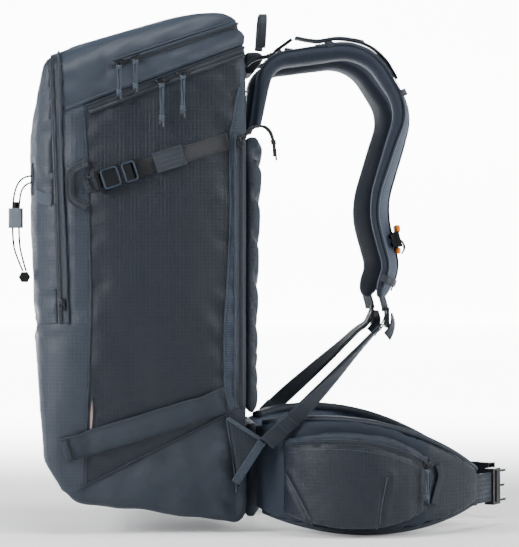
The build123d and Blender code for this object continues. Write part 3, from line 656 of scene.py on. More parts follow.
def bag_skin_points():
    """Points and quads of the closed bag skin: two side grids and the ring between them."""
    grid = side_domain()
    rows, cols = grid.shape[:2]
    flat = grid.reshape(-1, 2)
    origin = np.stack([flat[:, 0], np.zeros(len(flat)), flat[:, 1]], 1)
    right = origin + form_reach(origin, np.tile([0.0, -1.0, 0.0], (len(flat), 1)))[:, None] * [0, -1, 0]
    points = [right, right * [1, -1, 1]]
    faces = []

    def at(i, j):
        return i * cols + j

    for i in range(rows - 1):
        for j in range(cols - 1):
            quad = (at(i, j), at(i, j + 1), at(i + 1, j + 1), at(i + 1, j))
            faces.append(quad)
            faces.append(tuple(reversed([q + rows * cols for q in quad])))
    loop = ([at(0, j) for j in range(cols)] + [at(i, cols - 1) for i in range(1, rows)]
            + [at(rows - 1, j) for j in range(cols - 2, -1, -1)] + [at(i, 0) for i in range(rows - 2, 0, -1)])
    spots = flat[loop]
    ahead, behind = np.roll(spots, -1, 0), np.roll(spots, 1, 0)
    run = ahead - behind
    normal = unit(np.stack([run[:, 1], -run[:, 0]], 1))
    middle = spots.mean(0)
    if ((spots - middle) * normal).sum() < 0:
        normal = -normal
    for _ in range(6):
        normal = unit(0.5 * normal + 0.25 * np.roll(normal, 1, 0) + 0.25 * np.roll(normal, -1, 0))
    half = -right[loop][:, 1]
    rings = []
    steps = ([("fan", k / RING_FAN) for k in range(1, RING_FAN)]
             + [("flat", k / RING_FLAT) for k in range(RING_FLAT + 1)]
             + [("unfan", k / RING_FAN) for k in range(1, RING_FAN)])
    for kind, share in steps:
        if kind == "flat":
            y = (-1 + 2 * share) * (half - RING_RADIUS)
            angle = math.pi / 2
        else:
            y = (half - RING_RADIUS) * (-1 if kind == "fan" else 1)
            angle = share * math.pi / 2 if kind == "fan" else math.pi / 2 + share * math.pi / 2
        origin = np.stack([spots[:, 0], y, spots[:, 1]], 1)
        direction = np.stack([normal[:, 0] * math.sin(angle), np.full(len(loop), -math.cos(angle)),
                              normal[:, 1] * math.sin(angle)], 1)
        rings.append(origin + form_reach(origin, direction)[:, None] * direction)
    base = 2 * rows * cols
    count = len(loop)
    points += rings
    index = [np.array(loop)] + [base + k * count + np.arange(count) for k in range(len(rings))] \
        + [np.array(loop) + rows * cols]
    for a, b in zip(index, index[1:]):
        for k in range(count):
            n = (k + 1) % count
            faces.append((a[k], b[k], b[n], a[n]))
    return np.vstack(points), faces


def seam_distance(p, n):
    """Distance in the surface to the nearest seam of the bag's skin, in millimetres."""
    x, y, z = p.T
    side = soft_step(np.abs(n[:, 1]), 0.45, 0.7)
    away = 200 * (1 - side)
    lid = over_line(LID_EDGE, x, z)
    pocket = over_line(POCKET_ZIP, x, z)
    bottom = over_line(BOTTOM_SEAM, x, z)
    rim = x - flap_x(z)
    flap_zone = 300 * (1 - soft_step(z, FLAP_FOOT[1] - 6, FLAP_FOOT[1]))
    seams = [
        np.abs(x - seam_x(FRONT_SEAM, z)) + away + 300 * soft_step(lid, -10, 0),
        np.abs(x - seam_x(REAR_SEAM, z)) + away + 300 * soft_step(lid, 30, 50),
        np.abs(lid) + 300 * (rim < 10),
        np.abs(lid + 15) + 300 * (x < -226),
        np.abs(pocket) + 300 * (x < POCKET_ZIP[0] - 4),
        np.abs(pocket - 8) + 300 * (x < POCKET_ZIP[0] - 4),
        np.abs(bottom) + 300 * (x > -24),
        np.abs(rim) + flap_zone,
        np.abs(rim - RIM_DEPTH) + flap_zone + 300 * (lid < -2) * (x > -230),
        np.abs(z - FLAP_FOOT[1]) + 300 * (rim > 2),
    ]
    return np.min(seams, axis=0)


def skin_offset(p, n):
    """How far the filled cloth stands off the form: crowns, puckers beside seams, soft dents."""
    x, y, z = p.T
    distance = seam_distance(p, n)
    bottom = over_line(BOTTOM_SEAM, x, z)
    lid = over_line(LID_EDGE, x, z)
    side = soft_step(np.abs(n[:, 1]), 0.45, 0.75)
    crown = -2.0 + 3.8 * (1 - np.exp(-distance / 13.0))
    near = np.exp(-((distance - 9) / 11.0) ** 2)
    base = soft_step(-bottom, 2, 22)
    front = soft_step(-x, 236, 262)
    back = soft_step(x, -26, -14)
    pucker = perlin_at(np.stack([x * 0.55, y * 0.55, z], 1), 17.0, 1)
    dent = perlin_at(np.stack([x, y * 0.8, z * 0.8], 1), 85.0, 2)
    slanted = perlin_at(np.stack([x * 0.9 + z * 0.4, y * 0.8, (z - 0.5 * x) * 0.42], 1), 30.0, 3)
    creases = 1 - np.abs(perlin_at(np.stack([(x + z * 0.9) * 0.5, y * 0.5, (z - x * 0.7) * 1.2], 1), 46.0, 4))
    wrinkle = (2.3 * near * pucker * (1 - 0.5 * back) + 1.9 * dent * soft_step(distance, 6, 30)
               + base * (4.0 * slanted + 2.2 * (creases - 0.6))
               + 1.2 * side * (1 - base) * slanted
               + 0.5 * front * pucker)
    quiet = 1 - 0.65 * soft_step(lid, -2, 4) * (1 - soft_step(np.abs(n[:, 1]), 0.2, 0.6))
    # The lid's rear end is rolled: three soft folds, one above the other.
    rear_fold = soft_step(x, -50, -18) * soft_step(lid, -4, 3)
    rolls = 3.6 * np.abs(np.sin(np.pi * np.clip(lid, 0, 66) / 22.0)) - 0.8 - 7.0 * soft_step(lid, 22, 62)
    return crown + wrinkle * quiet * (1 - 0.7 * back) + rear_fold * rolls


def build_skin():
    """The bag's closed outer skin, with points and quads, in millimetres."""
    points, faces = bag_skin_points()
    data = bpy.data.meshes.new("skin")
    data.from_pydata([tuple(p) for p in points * MM], [], [tuple(map(int, f)) for f in faces])
    bm = bmesh.new()
    bm.from_mesh(data)
    bmesh.ops.recalc_face_normals(bm, faces=bm.faces)
    for _ in range(2):
        bmesh.ops.smooth_vert(bm, verts=bm.verts, factor=0.4, use_axis_x=True, use_axis_y=True,
                              use_axis_z=True)
    bm.normal_update()
    normals = np.array([v.normal[:] for v in bm.verts])
    co = np.array([v.co[:] for v in bm.verts]) / MM
    moved = co + normals * skin_offset(co, normals)[:, None]
    for vert, spot in zip(bm.verts, moved * MM):
        vert.co = spot
    bm.normal_update()
    bpy.data.meshes.remove(data)
    return bm


def cut(bm, point, normal, keep):
    """Cuts faces along a plane (millimetres); keep says which faces may be cut."""
    faces = [f for f in bm.faces if keep(f.calc_center_median() / MM)]
    edges = list({e for f in faces for e in f.edges})
    verts = list({v for f in faces for v in f.verts})
    bmesh.ops.bisect_plane(bm, geom=faces + edges + verts, dist=1e-6,
                           plane_co=Vector(point) * MM, plane_no=Vector(normal))


def line_plane(line, rise=0.0):
    """A point and a normal of the plane that holds a sloping line across the bag."""
    a = math.radians(line[2])
    return ((line[0] - rise * math.sin(a), 0, line[1] + rise * math.cos(a)),
            (-math.sin(a), 0, math.cos(a)))


skin = build_skin()
flap_run = Vector((FLAP_TOP[0] - FLAP_FOOT[0], 0, FLAP_TOP[1] - FLAP_FOOT[1])).normalized()
flap_normal = (flap_run.z, 0, -flap_run.x)
cut(skin, (FLAP_FOOT[0], 0, FLAP_FOOT[1]), flap_normal, lambda c: c.z > FLAP_FOOT[1] - 8 and c.x < -235)
cut(skin, (FLAP_FOOT[0] + RIM_DEPTH, 0, FLAP_FOOT[1]), flap_normal,
    lambda c: c.z > 190 and c.x < -222)
cut(skin, (0, 0, FLAP_FOOT[1]), UP, lambda c: c.x < -238)
cut(skin, *line_plane(LID_EDGE), lambda c: c.x > -252 and c.z > 190)
cut(skin, *line_plane(POCKET_ZIP), lambda c: c.x > -200 and c.z > 240)
cut(skin, *line_plane(POCKET_ZIP, 7.0), lambda c: c.x > -200 and c.z > 240)
cut(skin, *line_plane(BOTTOM_SEAM), lambda c: c.z < -140)
skin.normal_update()
SKIN_TREE = BVHTree.FromBMesh(skin)


def region_of(c):
    """Which piece a place on the skin belongs to: the lid, the front flap or the bag."""
    if c.z > FLAP_FOOT[1] and c.x < flap_x(c.z):
        return "flap"
    if over_line(LID_EDGE, c.x, c.z) > 0 and c.x > flap_x(c.z) + RIM_DEPTH:
        return "lid"
    return "bag"


def cloth_of(c, normal, region):
    """Index of the cloth at a place: see SKIN_CLOTHS."""
    if region == "lid":
        pocket = over_line(POCKET_ZIP, c.x, c.z)
        return 5 if 0 < pocket < 7.0 and c.x > POCKET_ZIP[0] else 1
    if region == "flap":
        return 2
    if over_line(BOTTOM_SEAM, c.x, c.z) < 0:
        return 3
    if c.x > -14.5 or (normal.x > 0.8 and c.x > -30):
        return 6
    if c.x > seam_x(REAR_SEAM, c.z):
        return 4
    if c.x < flap_x(c.z) + RIM_DEPTH and c.z > FLAP_FOOT[1]:
        return 2
    return 0 if c.x > seam_x(FRONT_SEAM, c.z) else 2


SKIN_CLOTHS = ["ripstop", "lid_twill", "front_cloth", "base_cloth", "stretch_rib", "zip_tape", "back_mesh",
               "lining"]


def skin_piece(name, region):
    """One part of the bag's skin with its thickness and lining."""
    part = skin.copy()
    part.faces.ensure_lookup_table()
    drop = []
    for face in part.faces:
        centre = face.calc_center_median() / MM
        found = region_of(centre)
        if found != region:
            drop.append(face)
        else:
            face.material_index = cloth_of(centre, face.normal, region)
            face.smooth = True
    bmesh.ops.delete(part, geom=drop, context="FACES")
    data = bpy.data.meshes.new(name)
    part.to_mesh(data)
    part.free()
    set_materials(data, SKIN_CLOTHS)
    box_uv(data)
    obj = add_object(name, data)
    shell = obj.modifiers.new("Thickness", "SOLIDIFY")
    shell.thickness = 2.4 * MM
    shell.offset = -1
    shell.use_even_offset = False
    apply_modifiers(obj)
    # The thickness adds the inner faces straight after the outer ones.
    cloths = read(obj.data.polygons, "material_index", 1, np.int32)
    outer_count = len(data.polygons)
    cloths[outer_count:2 * outer_count] = SKIN_CLOTHS.index("lining")
    obj.data.polygons.foreach_set("material_index", cloths)
    return obj


def single(obj, body, nodes=()):
    """A piece that rides on a body, with the nodes it stands for."""
    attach(obj, body)
    if nodes:
        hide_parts(*nodes)
    return obj


for name, region, body, node, slot in (("bag_shell", "bag", "bag", "main_bag", "side_ripstop"),
                                       ("lid_shell", "lid", "lid", "lid", "lid_twill"),
                                       ("front_panel", "flap", "front_flap", "front_flap", "side_ripstop")):
    single(skin_piece(name, region), body, [node])


# ---------------------------------------------------------------- lines on the bag's skin
BAG_MIDDLE = np.array([-140.0, 0.0, 20.0])
OUTSIDE = -400  # where rays start, beyond the bag's right side and its front
RIGHT = np.array([0.0, -1.0, 0.0])


def skin_hit(origin, direction):
    """Where a ray meets the bag's skin, and the outward normal there, in millimetres."""
    hit, normal, _, _ = SKIN_TREE.ray_cast(Vector(origin) * MM, Vector(direction).normalized())
    spot = np.array(hit) / MM
    normal = np.array(normal)
    return spot, normal if normal @ (spot - BAG_MIDDLE) > 0 else -normal


def blurred(rows, count=4):
    """Rows averaged with their neighbours, the ends kept."""
    rows = np.array(rows, float)
    for _ in range(count):
        rows[1:-1] = 0.25 * rows[:-2] + 0.5 * rows[1:-1] + 0.25 * rows[2:]
    return rows


def settled(path, normals, step=3.0, blur=4):
    """A path and its normals, evenly spaced and smoothed."""
    both = even(np.hstack([path, normals]), step)
    both = blurred(both, blur)
    return both[:, :3], unit(both[:, 3:])


def hit_path(rays, step=3.0, blur=2):
    """The settled path of the places where rays (origin, direction) meet the skin."""
    spots, ups = zip(*[skin_hit(*ray) for ray in rays])
    return settled(np.array(spots), np.array(ups), step, blur)


def traced(centre, first, second, angles):
    """The skin's section in a plane, from inside, over a range of angles."""
    return hit_path([(centre, math.cos(a) * np.array(first) + math.sin(a) * np.array(second))
                     for a in np.radians(angles)], blur=4)


def down_side(points, step=3.0, lift=0.0):
    """A path on the bag's right side through points seen from the side (X, Z)."""
    path, normals = hit_path([((x, OUTSIDE, z), (0, 1, 0)) for x, z in even(points, step)], step)
    return path + normals * lift, normals


def ring_section(radius, count=8):
    a = np.linspace(0, 2 * math.pi, count, endpoint=False)
    return np.stack([np.cos(a), np.sin(a)], 1) * radius


def seam_line(name, seam, z_low, z_high, radius, material, lift):
    """A piped seam down the bag's side."""
    z = np.linspace(z_high, z_low, 120)
    path, normals = down_side(np.stack([seam_x(seam, z), z], 1), 3.0, lift)
    return swept(name, path, normals, ring_section(radius), [material])


def pair(obj, body, nodes=()):
    """A right-hand piece and its mirror image, both riding, each standing for its own nodes."""
    base = obj.name
    obj.name = base + "_right"
    pieces = (obj, mirror_copy(obj, base + "_left"))
    for piece, side in zip(pieces, ("right", "left")):
        single(piece, body.replace("*", side), [n.replace("*", side) for n in nodes])
    return pieces


def zip_band(name, path, normals, width, fold_side=-1, fold_material="ripstop", fold=3.4):
    """A reversed-coil zip: a rounded fold over one edge, two woven tapes, the coil's stitches and a seam."""
    half = width / 2
    arc = np.radians(np.linspace(180, 0, 7))
    lip = [(-half + fold / 2 + fold / 2 * math.cos(a), 0.5 + 1.5 * math.sin(a)) for a in arc]
    gap = (-half + fold + half) / 2
    top = lip + [(-half + fold + 0.3, 0.35), (gap - 0.5, 0.7), (gap - 0.25, 0.1), (gap + 0.25, 0.1),
                 (gap + 0.5, 0.7), (half - 0.4, 0.75), (half, 0.1)]
    outline = np.array(top + [(half, -1.2), (-half, -1.2)])
    outline[:, 0] *= -fold_side
    if fold_side > 0:
        outline = outline[::-1]
    count = len(outline)
    lip_columns = range(6) if fold_side < 0 else range(count - 7, count - 1)
    band = swept(name, path, normals, outline, [fold_material, "zip_tape"],
                 face_material=lambda i, j: 0 if int(round(j * count)) in lip_columns else 1)
    across = np.cross(tangents(path), normals)
    coil_path = path + across * (gap * -fold_side) + normals * 0.15
    coil = dashes(name + "_coil", coil_path, normals, "dark_thread", 1.0, 0.45, 0.42, 0.0)
    stitched = dashes(name + "_stitch", path + across * (half - 1.2) * -fold_side + normals * 0.7, normals,
                      "dark_thread")
    return join(name, [band, coil, stitched])


def plane_frame(line, rise, x):
    """A centre inside the bag and the two directions of a sloping line's plane."""
    a = math.radians(line[2])
    return (np.array([x, 0, on_line(line, x) + rise / math.cos(a)]), (math.cos(a), 0, math.sin(a)), RIGHT)


main_path, main_normals = traced(*plane_frame(LID_EDGE, -7.5, -120), np.linspace(125, -125, 260))
single(zip_band("main_zip_band", main_path, main_normals, 13.0), "bag", ["main_zip"])

pocket_path, pocket_normals = traced(*plane_frame(POCKET_ZIP, 3.5, -110), np.linspace(118, -118, 220))
single(zip_band("lid_pocket_zip_band", pocket_path, pocket_normals, 8.0, -1, "lid_twill", 2.6), "lid",
       ["lid_pocket_zip"])

front_centre = np.array([flap_x(120) + 7.5, 0, 120.0])
front_path, front_normals = traced(front_centre, tuple(flap_run), RIGHT, np.linspace(141, -141, 300))
single(zip_band("front_zip_band", front_path, front_normals, 13.0, 1, "front_cloth", 3.0), "bag",
       ["front_zip"])

z = np.linspace(182, -158, 120)
back_path, back_normals = down_side(np.stack([np.full(len(z), -23.5), z], 1))
pair(zip_band("back_zip_band", back_path, back_normals, 12.0, 1, "stretch_rib", 3.0), "bag")
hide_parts("back_zip")

# Seams: piping in front, stitched folds behind and below.
pair(seam_line("front_piping", FRONT_SEAM, on_line(BOTTOM_SEAM, -210) + 1, on_line(LID_EDGE, -214) - 16,
               1.25, "binding", 0.5), "bag")
pair(seam_line("rear_fold", REAR_SEAM, -262, 240, 1.5, "stretch_rib", 0.0), "bag")
for shift, label in ((3.4, "a"), (6.2, "b")):
    z = np.linspace(236, -255, 160)
    path, normals = down_side(np.stack([seam_x(REAR_SEAM, z) - shift, z], 1), 3.0, 0.2)
    pair(dashes("rear_stitch_" + label, path, normals, "dark_thread"), "bag")
x = np.linspace(-30, -222, 80)
for rise, label in ((2.6, "a"), (-2.8, "b")):
    path, normals = down_side(np.stack([x, on_line(BOTTOM_SEAM, x) + rise], 1), 3.0, 0.2)
    pair(dashes("base_stitch_" + label, path, normals, "dark_thread"), "bag")
base_path, base_normals = down_side(np.stack([x, on_line(BOTTOM_SEAM, x)], 1), 3.0, 0.1)
pair(swept("base_fold", base_path, base_normals, ring_section(1.3), ["base_cloth"]), "bag")
lid_path, lid_normals = traced(*plane_frame(LID_EDGE, 2.6, -120), np.linspace(133, -133, 260))
single(swept("lid_hem", lid_path, lid_normals, section(4.4, 2.2, 0.48), ["lid_twill"]), "lid")


def above_pocket_zip(rise):
    return traced(*plane_frame(POCKET_ZIP, rise, -110), np.linspace(118, -118, 200))


path, normals = above_pocket_zip(11.5)
single(dashes("lid_stitch_a", path + normals * 0.2, normals, "dark_thread"), "lid")
path, normals = above_pocket_zip(9.6)
single(swept("lid_piping", path, normals, ring_section(1.5), ["lid_twill"]), "lid")


# ---------------------------------------------------------------- webbing on the bag
COMPRESSION = (-209.0, 118.0, 17.7)
SKI_BAND = (-238.0, -207.5, 17.2)


def line_path(line, x_from, x_to, step=3.0, lift=0.0):
    """A path on the bag's side along a sloping line."""
    x = np.linspace(x_from, x_to, 60)
    return down_side(np.stack([x, on_line(line, x)], 1), step, lift)


def edge_stitches(name, path, normals, width, inset=1.6, lift=0.9, material="dark_thread"):
    """Two rows of stitches along a strap's edges."""
    across = np.cross(tangents(path), normals)
    return [dashes(name + label, path + across * side * (width / 2 - inset) + normals * lift, normals, material)
            for side, label in ((1, "a"), (-1, "b"))]


def webbing(name, path, normals, width, thick, material, stitched=False):
    band = swept(name, path, normals, section(width, thick, 0.4), [material])
    if stitched:
        return join(name, [band] + edge_stitches(name, path, normals, width, lift=thick / 2))
    return band


path, normals = line_path(COMPRESSION, -214, -196, lift=1.3)
pair(webbing("compression_anchor", path, normals, 20, 2.0, "dark_webbing", True), "bag")
path, normals = line_path(COMPRESSION, -104, -36, lift=0.9)
twill = webbing("compression_twill", path, normals, 20, 1.8, "brown_twill", True)
path, normals = line_path(COMPRESSION, -148, -104, lift=1.0)
elastic = webbing("compression_elastic", path, normals, 19, 1.8, "black_cord")
pair(join("compression_tail", [twill, elastic]), "bag")
path, normals = line_path(COMPRESSION, -127, -92, step=2.0, lift=3.6)
bulge = np.sin(np.linspace(0, math.pi, len(path)))[:, None]
keeper = swept("compression_keeper", path + normals * bulge * 1.2, normals, section(26, 2.0, 0.4),
               ["dark_webbing"])
stitches = edge_stitches("k", path + normals * (bulge * 1.2 + 1.0), normals, 26)
pair(join("compression_keeper", [keeper] + stitches), "bag")
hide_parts("compression_straps")

path, normals = line_path(SKI_BAND, -240, -38, lift=2.4)
bulge = (np.sin(np.linspace(0, math.pi, len(path))) ** 0.5)[:, None]
path = path + normals * bulge * (1.6 + 0.7 * np.sin(np.linspace(0, 17, len(path))))[:, None]
ski_section = section(31, 2.6, 0.45)
ski_section[:, 1] += 1.2 * (1 - (ski_section[:, 0] / 15.5) ** 2)
ski = swept("ski_band", path, normals, ski_section, ["base_cloth"])
pair(join("ski_band", [ski] + edge_stitches("s", path, normals, 31, 2.4, 1.7)), "bag")
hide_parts("carry_loops")

loop_shape = rounded_path([(2, 28), (-19, 17), (-19, -17), (2, -28)], [14, 14])
spot, normal = skin_hit((-212, OUTSIDE, 118), (0, 1, 0))
run = unit(np.array([1.0, 0, 0]) - normal * normal[0])
rise = np.cross(normal, run) * -1
rise = rise if rise[2] > 0 else -rise
flat = even(loop_shape, 2.5)
loop_path = spot + flat[:, :1] * run + flat[:, 1:] * rise + normal * 4.2
pair(webbing("side_loop", loop_path, np.tile(normal, (len(loop_path), 1)), 10.5, 2.2, "dark_webbing", True),
     "bag")


# ---------------------------------------------------------------- shoulder straps
STRAP_Y = -84.0
STRAP_PATH = [(0, 192), (14, 274), (138, 292), (189, 216), (152, 92), (171, 18), (157, -22)]
STRAP_RADII = [34, 58, 58, 110, 40]


def upright(path):
    """Normals of a path, square to it in the X-Z plane."""
    t = tangents(path)
    return np.stack([-t[:, 2], np.zeros(len(t)), t[:, 0]], 1)


def turned(path, normals, degrees):
    """Normals turned about the path."""
    t = tangents(path)
    a = np.radians(degrees)[:, None]
    return normals * np.cos(a) + np.cross(t, normals) * np.sin(a)


def dilated(path, normals, across=0.0, up=0.0):
    """A path moved sideways and outwards."""
    side = np.cross(tangents(path), normals)
    return path + side * across + normals * up


flat = even(rounded_path(STRAP_PATH, STRAP_RADII), 3.5)
strap_path = np.stack([flat[:, 0], np.full(len(flat), STRAP_Y), flat[:, 1]], 1)
strap_along = arc_lengths(strap_path)
STRAP_LENGTH = strap_along[-1]
share = strap_along / STRAP_LENGTH
twist = np.interp(share, [0, 0.25, 0.45, 0.62, 0.8, 1.0], [0, -3, 6, 19, 24, 22])
strap_normals = turned(strap_path, upright(strap_path), twist)
# Foam thins towards the buckle; the last 24 mm run out to a round end.
thick = np.interp(share, [0, 0.12, 0.3, 0.55, 0.8, 1.0], [13, 19, 21, 19, 14, 12.5])
wide = np.interp(share, [0, 0.15, 0.5, 0.8, 1.0], [54, 60, 62, 56, 50])
to_end = STRAP_LENGTH - strap_along
roundness = np.sqrt(np.clip(1 - np.clip(1 - to_end / 24.0, 0, 1) ** 2, 0.05, 1))
folds = 1 + 0.03 * np.sin(strap_along / 9.0) * np.exp(-((share - 0.12) / 0.07) ** 2)
profile = pillow_section(1.0, 1.0, 3.2, 36)
rings = profile[None] * np.stack([wide * roundness, thick * folds * (0.35 + 0.65 * roundness)], 1)[:, None, :]


def strap_face(i, j):
    """Mesh over the outer face, knit round the edges and inside."""
    x, y = profile[int(round(j * len(profile))) % len(profile)]
    return 0 if y > 0.18 and abs(x) < 0.40 else 1


strap = swept("strap_foam", strap_path, strap_normals, rings, ["air_mesh", "foam_knit"],
              face_material=strap_face)
subdivided(strap)


def nearest(spot):
    """The strap path's point nearest to a share of its length."""
    return int(np.argmin(np.abs(share - spot)))


def harness_pair(obj, blended=False, nodes_right=(), nodes_left=()):
    """A harness piece and its mirror image; blended ones stay unparented where they are, the others ride their
    shoulder strap.
    """
    base = obj.name
    obj.name = base + "_right"
    other = mirror_copy(obj, base + "_left")
    for piece, side, nodes in ((obj, "right", nodes_right), (other, "left", nodes_left)):
        if blended:
            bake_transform(piece)
        else:
            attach(piece, "shoulder_strap_" + side)
        if nodes:
            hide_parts(*nodes)


harness_pair(strap, True, ["strap_roots", "shoulder_strap_right"], ["shoulder_strap_left"])


def strap_slice(start, stop):
    """The part of the strap's path between two shares of its length."""
    keep = (share >= start) & (share <= stop)
    return strap_path[keep], strap_normals[keep], wide[keep], thick[keep]


# Edge piping, stitch rows, webbing down the outer face, keeper loops and four grey marks.
part_path, part_normals, part_wide, part_thick = strap_slice(0.10, 0.975)
rows = []
for side in (1, -1):
    across = np.cross(tangents(part_path), part_normals)
    edge = part_path + across * (side * part_wide * 0.405)[:, None] + part_normals * (part_thick * 0.40)[:, None]
    rows.append(swept("edge", edge, part_normals, ring_section(1.2, 6), ["binding"]))
    inner = part_path + across * (side * part_wide * 0.355)[:, None] + part_normals * (part_thick * 0.455)[:, None]
    rows.append(dashes("row", inner, part_normals, "thread" if side > 0 else "dark_thread"))
harness_pair(join("strap_piping", rows), True)

part_path, part_normals, part_wide, part_thick = strap_slice(0.26, 0.47)
ridge = part_path + part_normals * (part_thick * 0.5 + 1.1)[:, None]
daisy = swept("daisy", ridge, part_normals, section(20, 1.8, 0.4), ["dark_webbing"])
harness_pair(join("strap_webbing", [daisy] + edge_stitches("d", ridge, part_normals, 20, 2.0, 0.9)))
keepers = []
for spot in (0.30, 0.505, 0.955):
    middle = nearest(spot)
    t, n = tangents(strap_path)[middle], strap_normals[middle]
    side = np.cross(t, n)
    around = [side * w * 0.5 + n * (thick[middle] * 0.5 + h) for w, h in
              ((-52, -5.5), (-44, 0.6), (-22, 2.6), (-9, 4.2), (9, 4.2), (22, 2.6), (44, 0.6), (52, -5.5))]
    spine = curve_through([strap_path[middle] + a for a in around], 2.0)
    ups = unit(spine - (strap_path[middle] - n * 22))
    keepers.append(swept("keeper", spine, ups, section(9, 1.6, 0.4), ["binding"]))
harness_pair(join("strap_keepers", keepers))

marks = []
for k in range(4):
    middle = nearest(0.425 + 0.018 * k)
    ups = strap_normals[middle - 1:middle + 2]
    piece_path = dilated(strap_path[middle - 1:middle + 2], ups, 17.5, thick[middle] * 0.5 + 0.6)
    marks.append(swept("mark", piece_path, ups, section(5, 0.8, 0.4), ["tag"]))
harness_pair(join("strap_marks", marks))

# Load lifters: webbing from the lock over the bag's top edge to the strap's outer face.
rest_on = []
for spot, lift in ((0.27, 5.5), (0.32, 6.0), (0.37, 5.5), (0.42, 4.5), (0.47, 2.8)):
    k = nearest(spot)
    rest_on.append(strap_path[k] + strap_normals[k] * (thick[k] / 2 + lift))
lift_path = curve_through([(50.0, STRAP_Y, 303.5)] + rest_on, 3.0)
lift_normals = upright(lift_path)
lifter = webbing("lifter", lift_path, lift_normals, 20, 1.8, "dark_webbing", True)
second = dilated(lift_path[: len(lift_path) * 3 // 5], lift_normals[: len(lift_path) * 3 // 5], 0, 2.2)
fold = webbing("lifter_fold", blurred(second, 6), lift_normals[: len(second)], 19, 1.6, "dark_webbing", True)
harness_pair(join("load_lifter", [lifter, fold]), False, ["load_lifter_strap_right"],
             ["load_lifter_strap_left"])
anchor = curve_through([(-12, STRAP_Y, 271), (0, STRAP_Y, 279), (13, STRAP_Y, 282), (24, STRAP_Y, 286)], 2.5)
anchor_normals = upright(anchor)
loop = webbing("lifter_anchor", anchor, anchor_normals, 20, 1.8, "dark_webbing", True)
under = dilated(anchor, anchor_normals, 0, -2.4)
below = webbing("lifter_under", under, anchor_normals, 20, 1.6, "dark_webbing")
pair(join("lifter_anchor", [loop, below]), "bag")


# ---------------------------------------------------------------- lower strap webbing
LOWER_START = (14, -196)
LOWER_ANGLE = math.radians(44.6)


def lower_point(along, y):
    """A point on the lower strap's line (X, Z from its start) at one Y."""
    return (LOWER_START[0] + along * math.cos(LOWER_ANGLE), y, LOWER_START[1] + along * math.sin(LOWER_ANGLE))


lower = curve_through([lower_point(-4, -137), lower_point(28, -146), lower_point(56, -149), lower_point(100, -131),
                       lower_point(146, -107), lower_point(184, -93), (158.0, -86, -56.0), (164.5, -84, -42.0)],
                      3.0)
lower_along = arc_lengths(lower) / arc_lengths(lower)[-1]
slope = tangents(lower)
flat_up = unit(np.cross(slope, (0, -1, 0)))
flat_up = flat_up * np.sign(flat_up[:, :1] + 1e-9)
facing = unit(np.cross(flat_up, slope))
facing = facing * np.sign(-facing[:, 1:2])
blend_in = np.interp(lower_along, [0, 0.2, 0.42, 0.75, 1.0], [8, 19, 45, 74, 84])[:, None]
lower_normals = facing * np.cos(np.radians(blend_in)) + flat_up * np.sin(np.radians(blend_in))
layer = webbing("lower", lower, lower_normals, 20, 1.8, "dark_webbing", True)
second_layer = lower + lower_normals * (2.4 + 1.6 * np.sin(lower_along * math.pi))[:, None]
layer_two = webbing("lower_two", second_layer, lower_normals, 20, 1.6, "dark_webbing")
keep_at = int(len(lower) * 0.16)
ups = lower_normals[keep_at - 3:keep_at + 4]
keeper = swept("lower_keeper", lower[keep_at - 3:keep_at + 4] + ups * 1.2, ups, section(23, 6.5, 0.4),
               ["dark_webbing"])
lower_strap = join("lower_strap_right", [layer, layer_two, keeper])
other = mirror_copy(lower_strap, "lower_strap_left")
for piece, side, y in ((lower_strap, "right", -1), (other, "left", 1)):
    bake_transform(piece)
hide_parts("anchor_webbing")

tail = curve_through([(172, -84, -40), (173.5, -84.5, -52), (171, -86, -62), (166, -88, -70)], 2.5)
tail_up = turned(tail, upright(tail), np.linspace(8, 42, len(tail)))
end_tail = webbing("strap_tail", tail, tail_up, 20, 1.8, "dark_webbing", True)
root = curve_through([(158, -84, -8), (160, -84, -20), (163, -84, -31), (164, -84, -38)], 2.5)
root_up = turned(root, upright(root), np.full(len(root), 24.0))
root_webs = webbing("strap_end", root, root_up, 22, 2.6, "grey_webbing", True)
harness_pair(join("strap_end_webbing", [root_webs]))
end_tail.name = "strap_tail_right"
for piece, side in ((end_tail, "right"), (mirror_copy(end_tail, "strap_tail_left"), "left")):
    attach(piece, "ladder_lock_" + side)


# ---------------------------------------------------------------- haul loop
haul_points = [(-27, 297), (-27, 341), (27, 341), (27, 297)]
haul_flat = even(rounded_path(haul_points, [20, 20]), 2.5)
haul_path = np.stack([np.full(len(haul_flat), 12.0), haul_flat[:, 0], haul_flat[:, 1]], 1)
haul_path[:, 0] += np.interp(haul_path[:, 2], [297, 341], [0, 3.0])
haul_up = np.cross(np.array([1.0, 0.0, 0.0]), tangents(haul_path))
haul = webbing("haul_loop_webbing", haul_path, haul_up, 10.5, 2.6, "grey_webbing", True)
single(haul, "haul_loop", ["haul_loop"])


# ---------------------------------------------------------------- padded pieces
def remeshed(node, name, voxel, shrink=0.0006):
    """A closed, even, slightly smaller skin of a CAD node."""
    obj = add_object(name, NODES[node].data.copy())
    m = obj.modifiers.new("Remesh", "REMESH")
    m.mode = "VOXEL"
    m.voxel_size = voxel
    apply_modifiers(obj)
    bm = bmesh.new()
    bm.from_mesh(obj.data)
    for _ in range(2):
        bmesh.ops.smooth_vert(bm, verts=bm.verts, factor=0.5, use_axis_x=True, use_axis_y=True, use_axis_z=True)
    bm.normal_update()
    for v in bm.verts:
        v.co -= v.normal * shrink
    bm.to_mesh(obj.data)
    bm.free()
    return obj


PUFF_FRAMES = 20


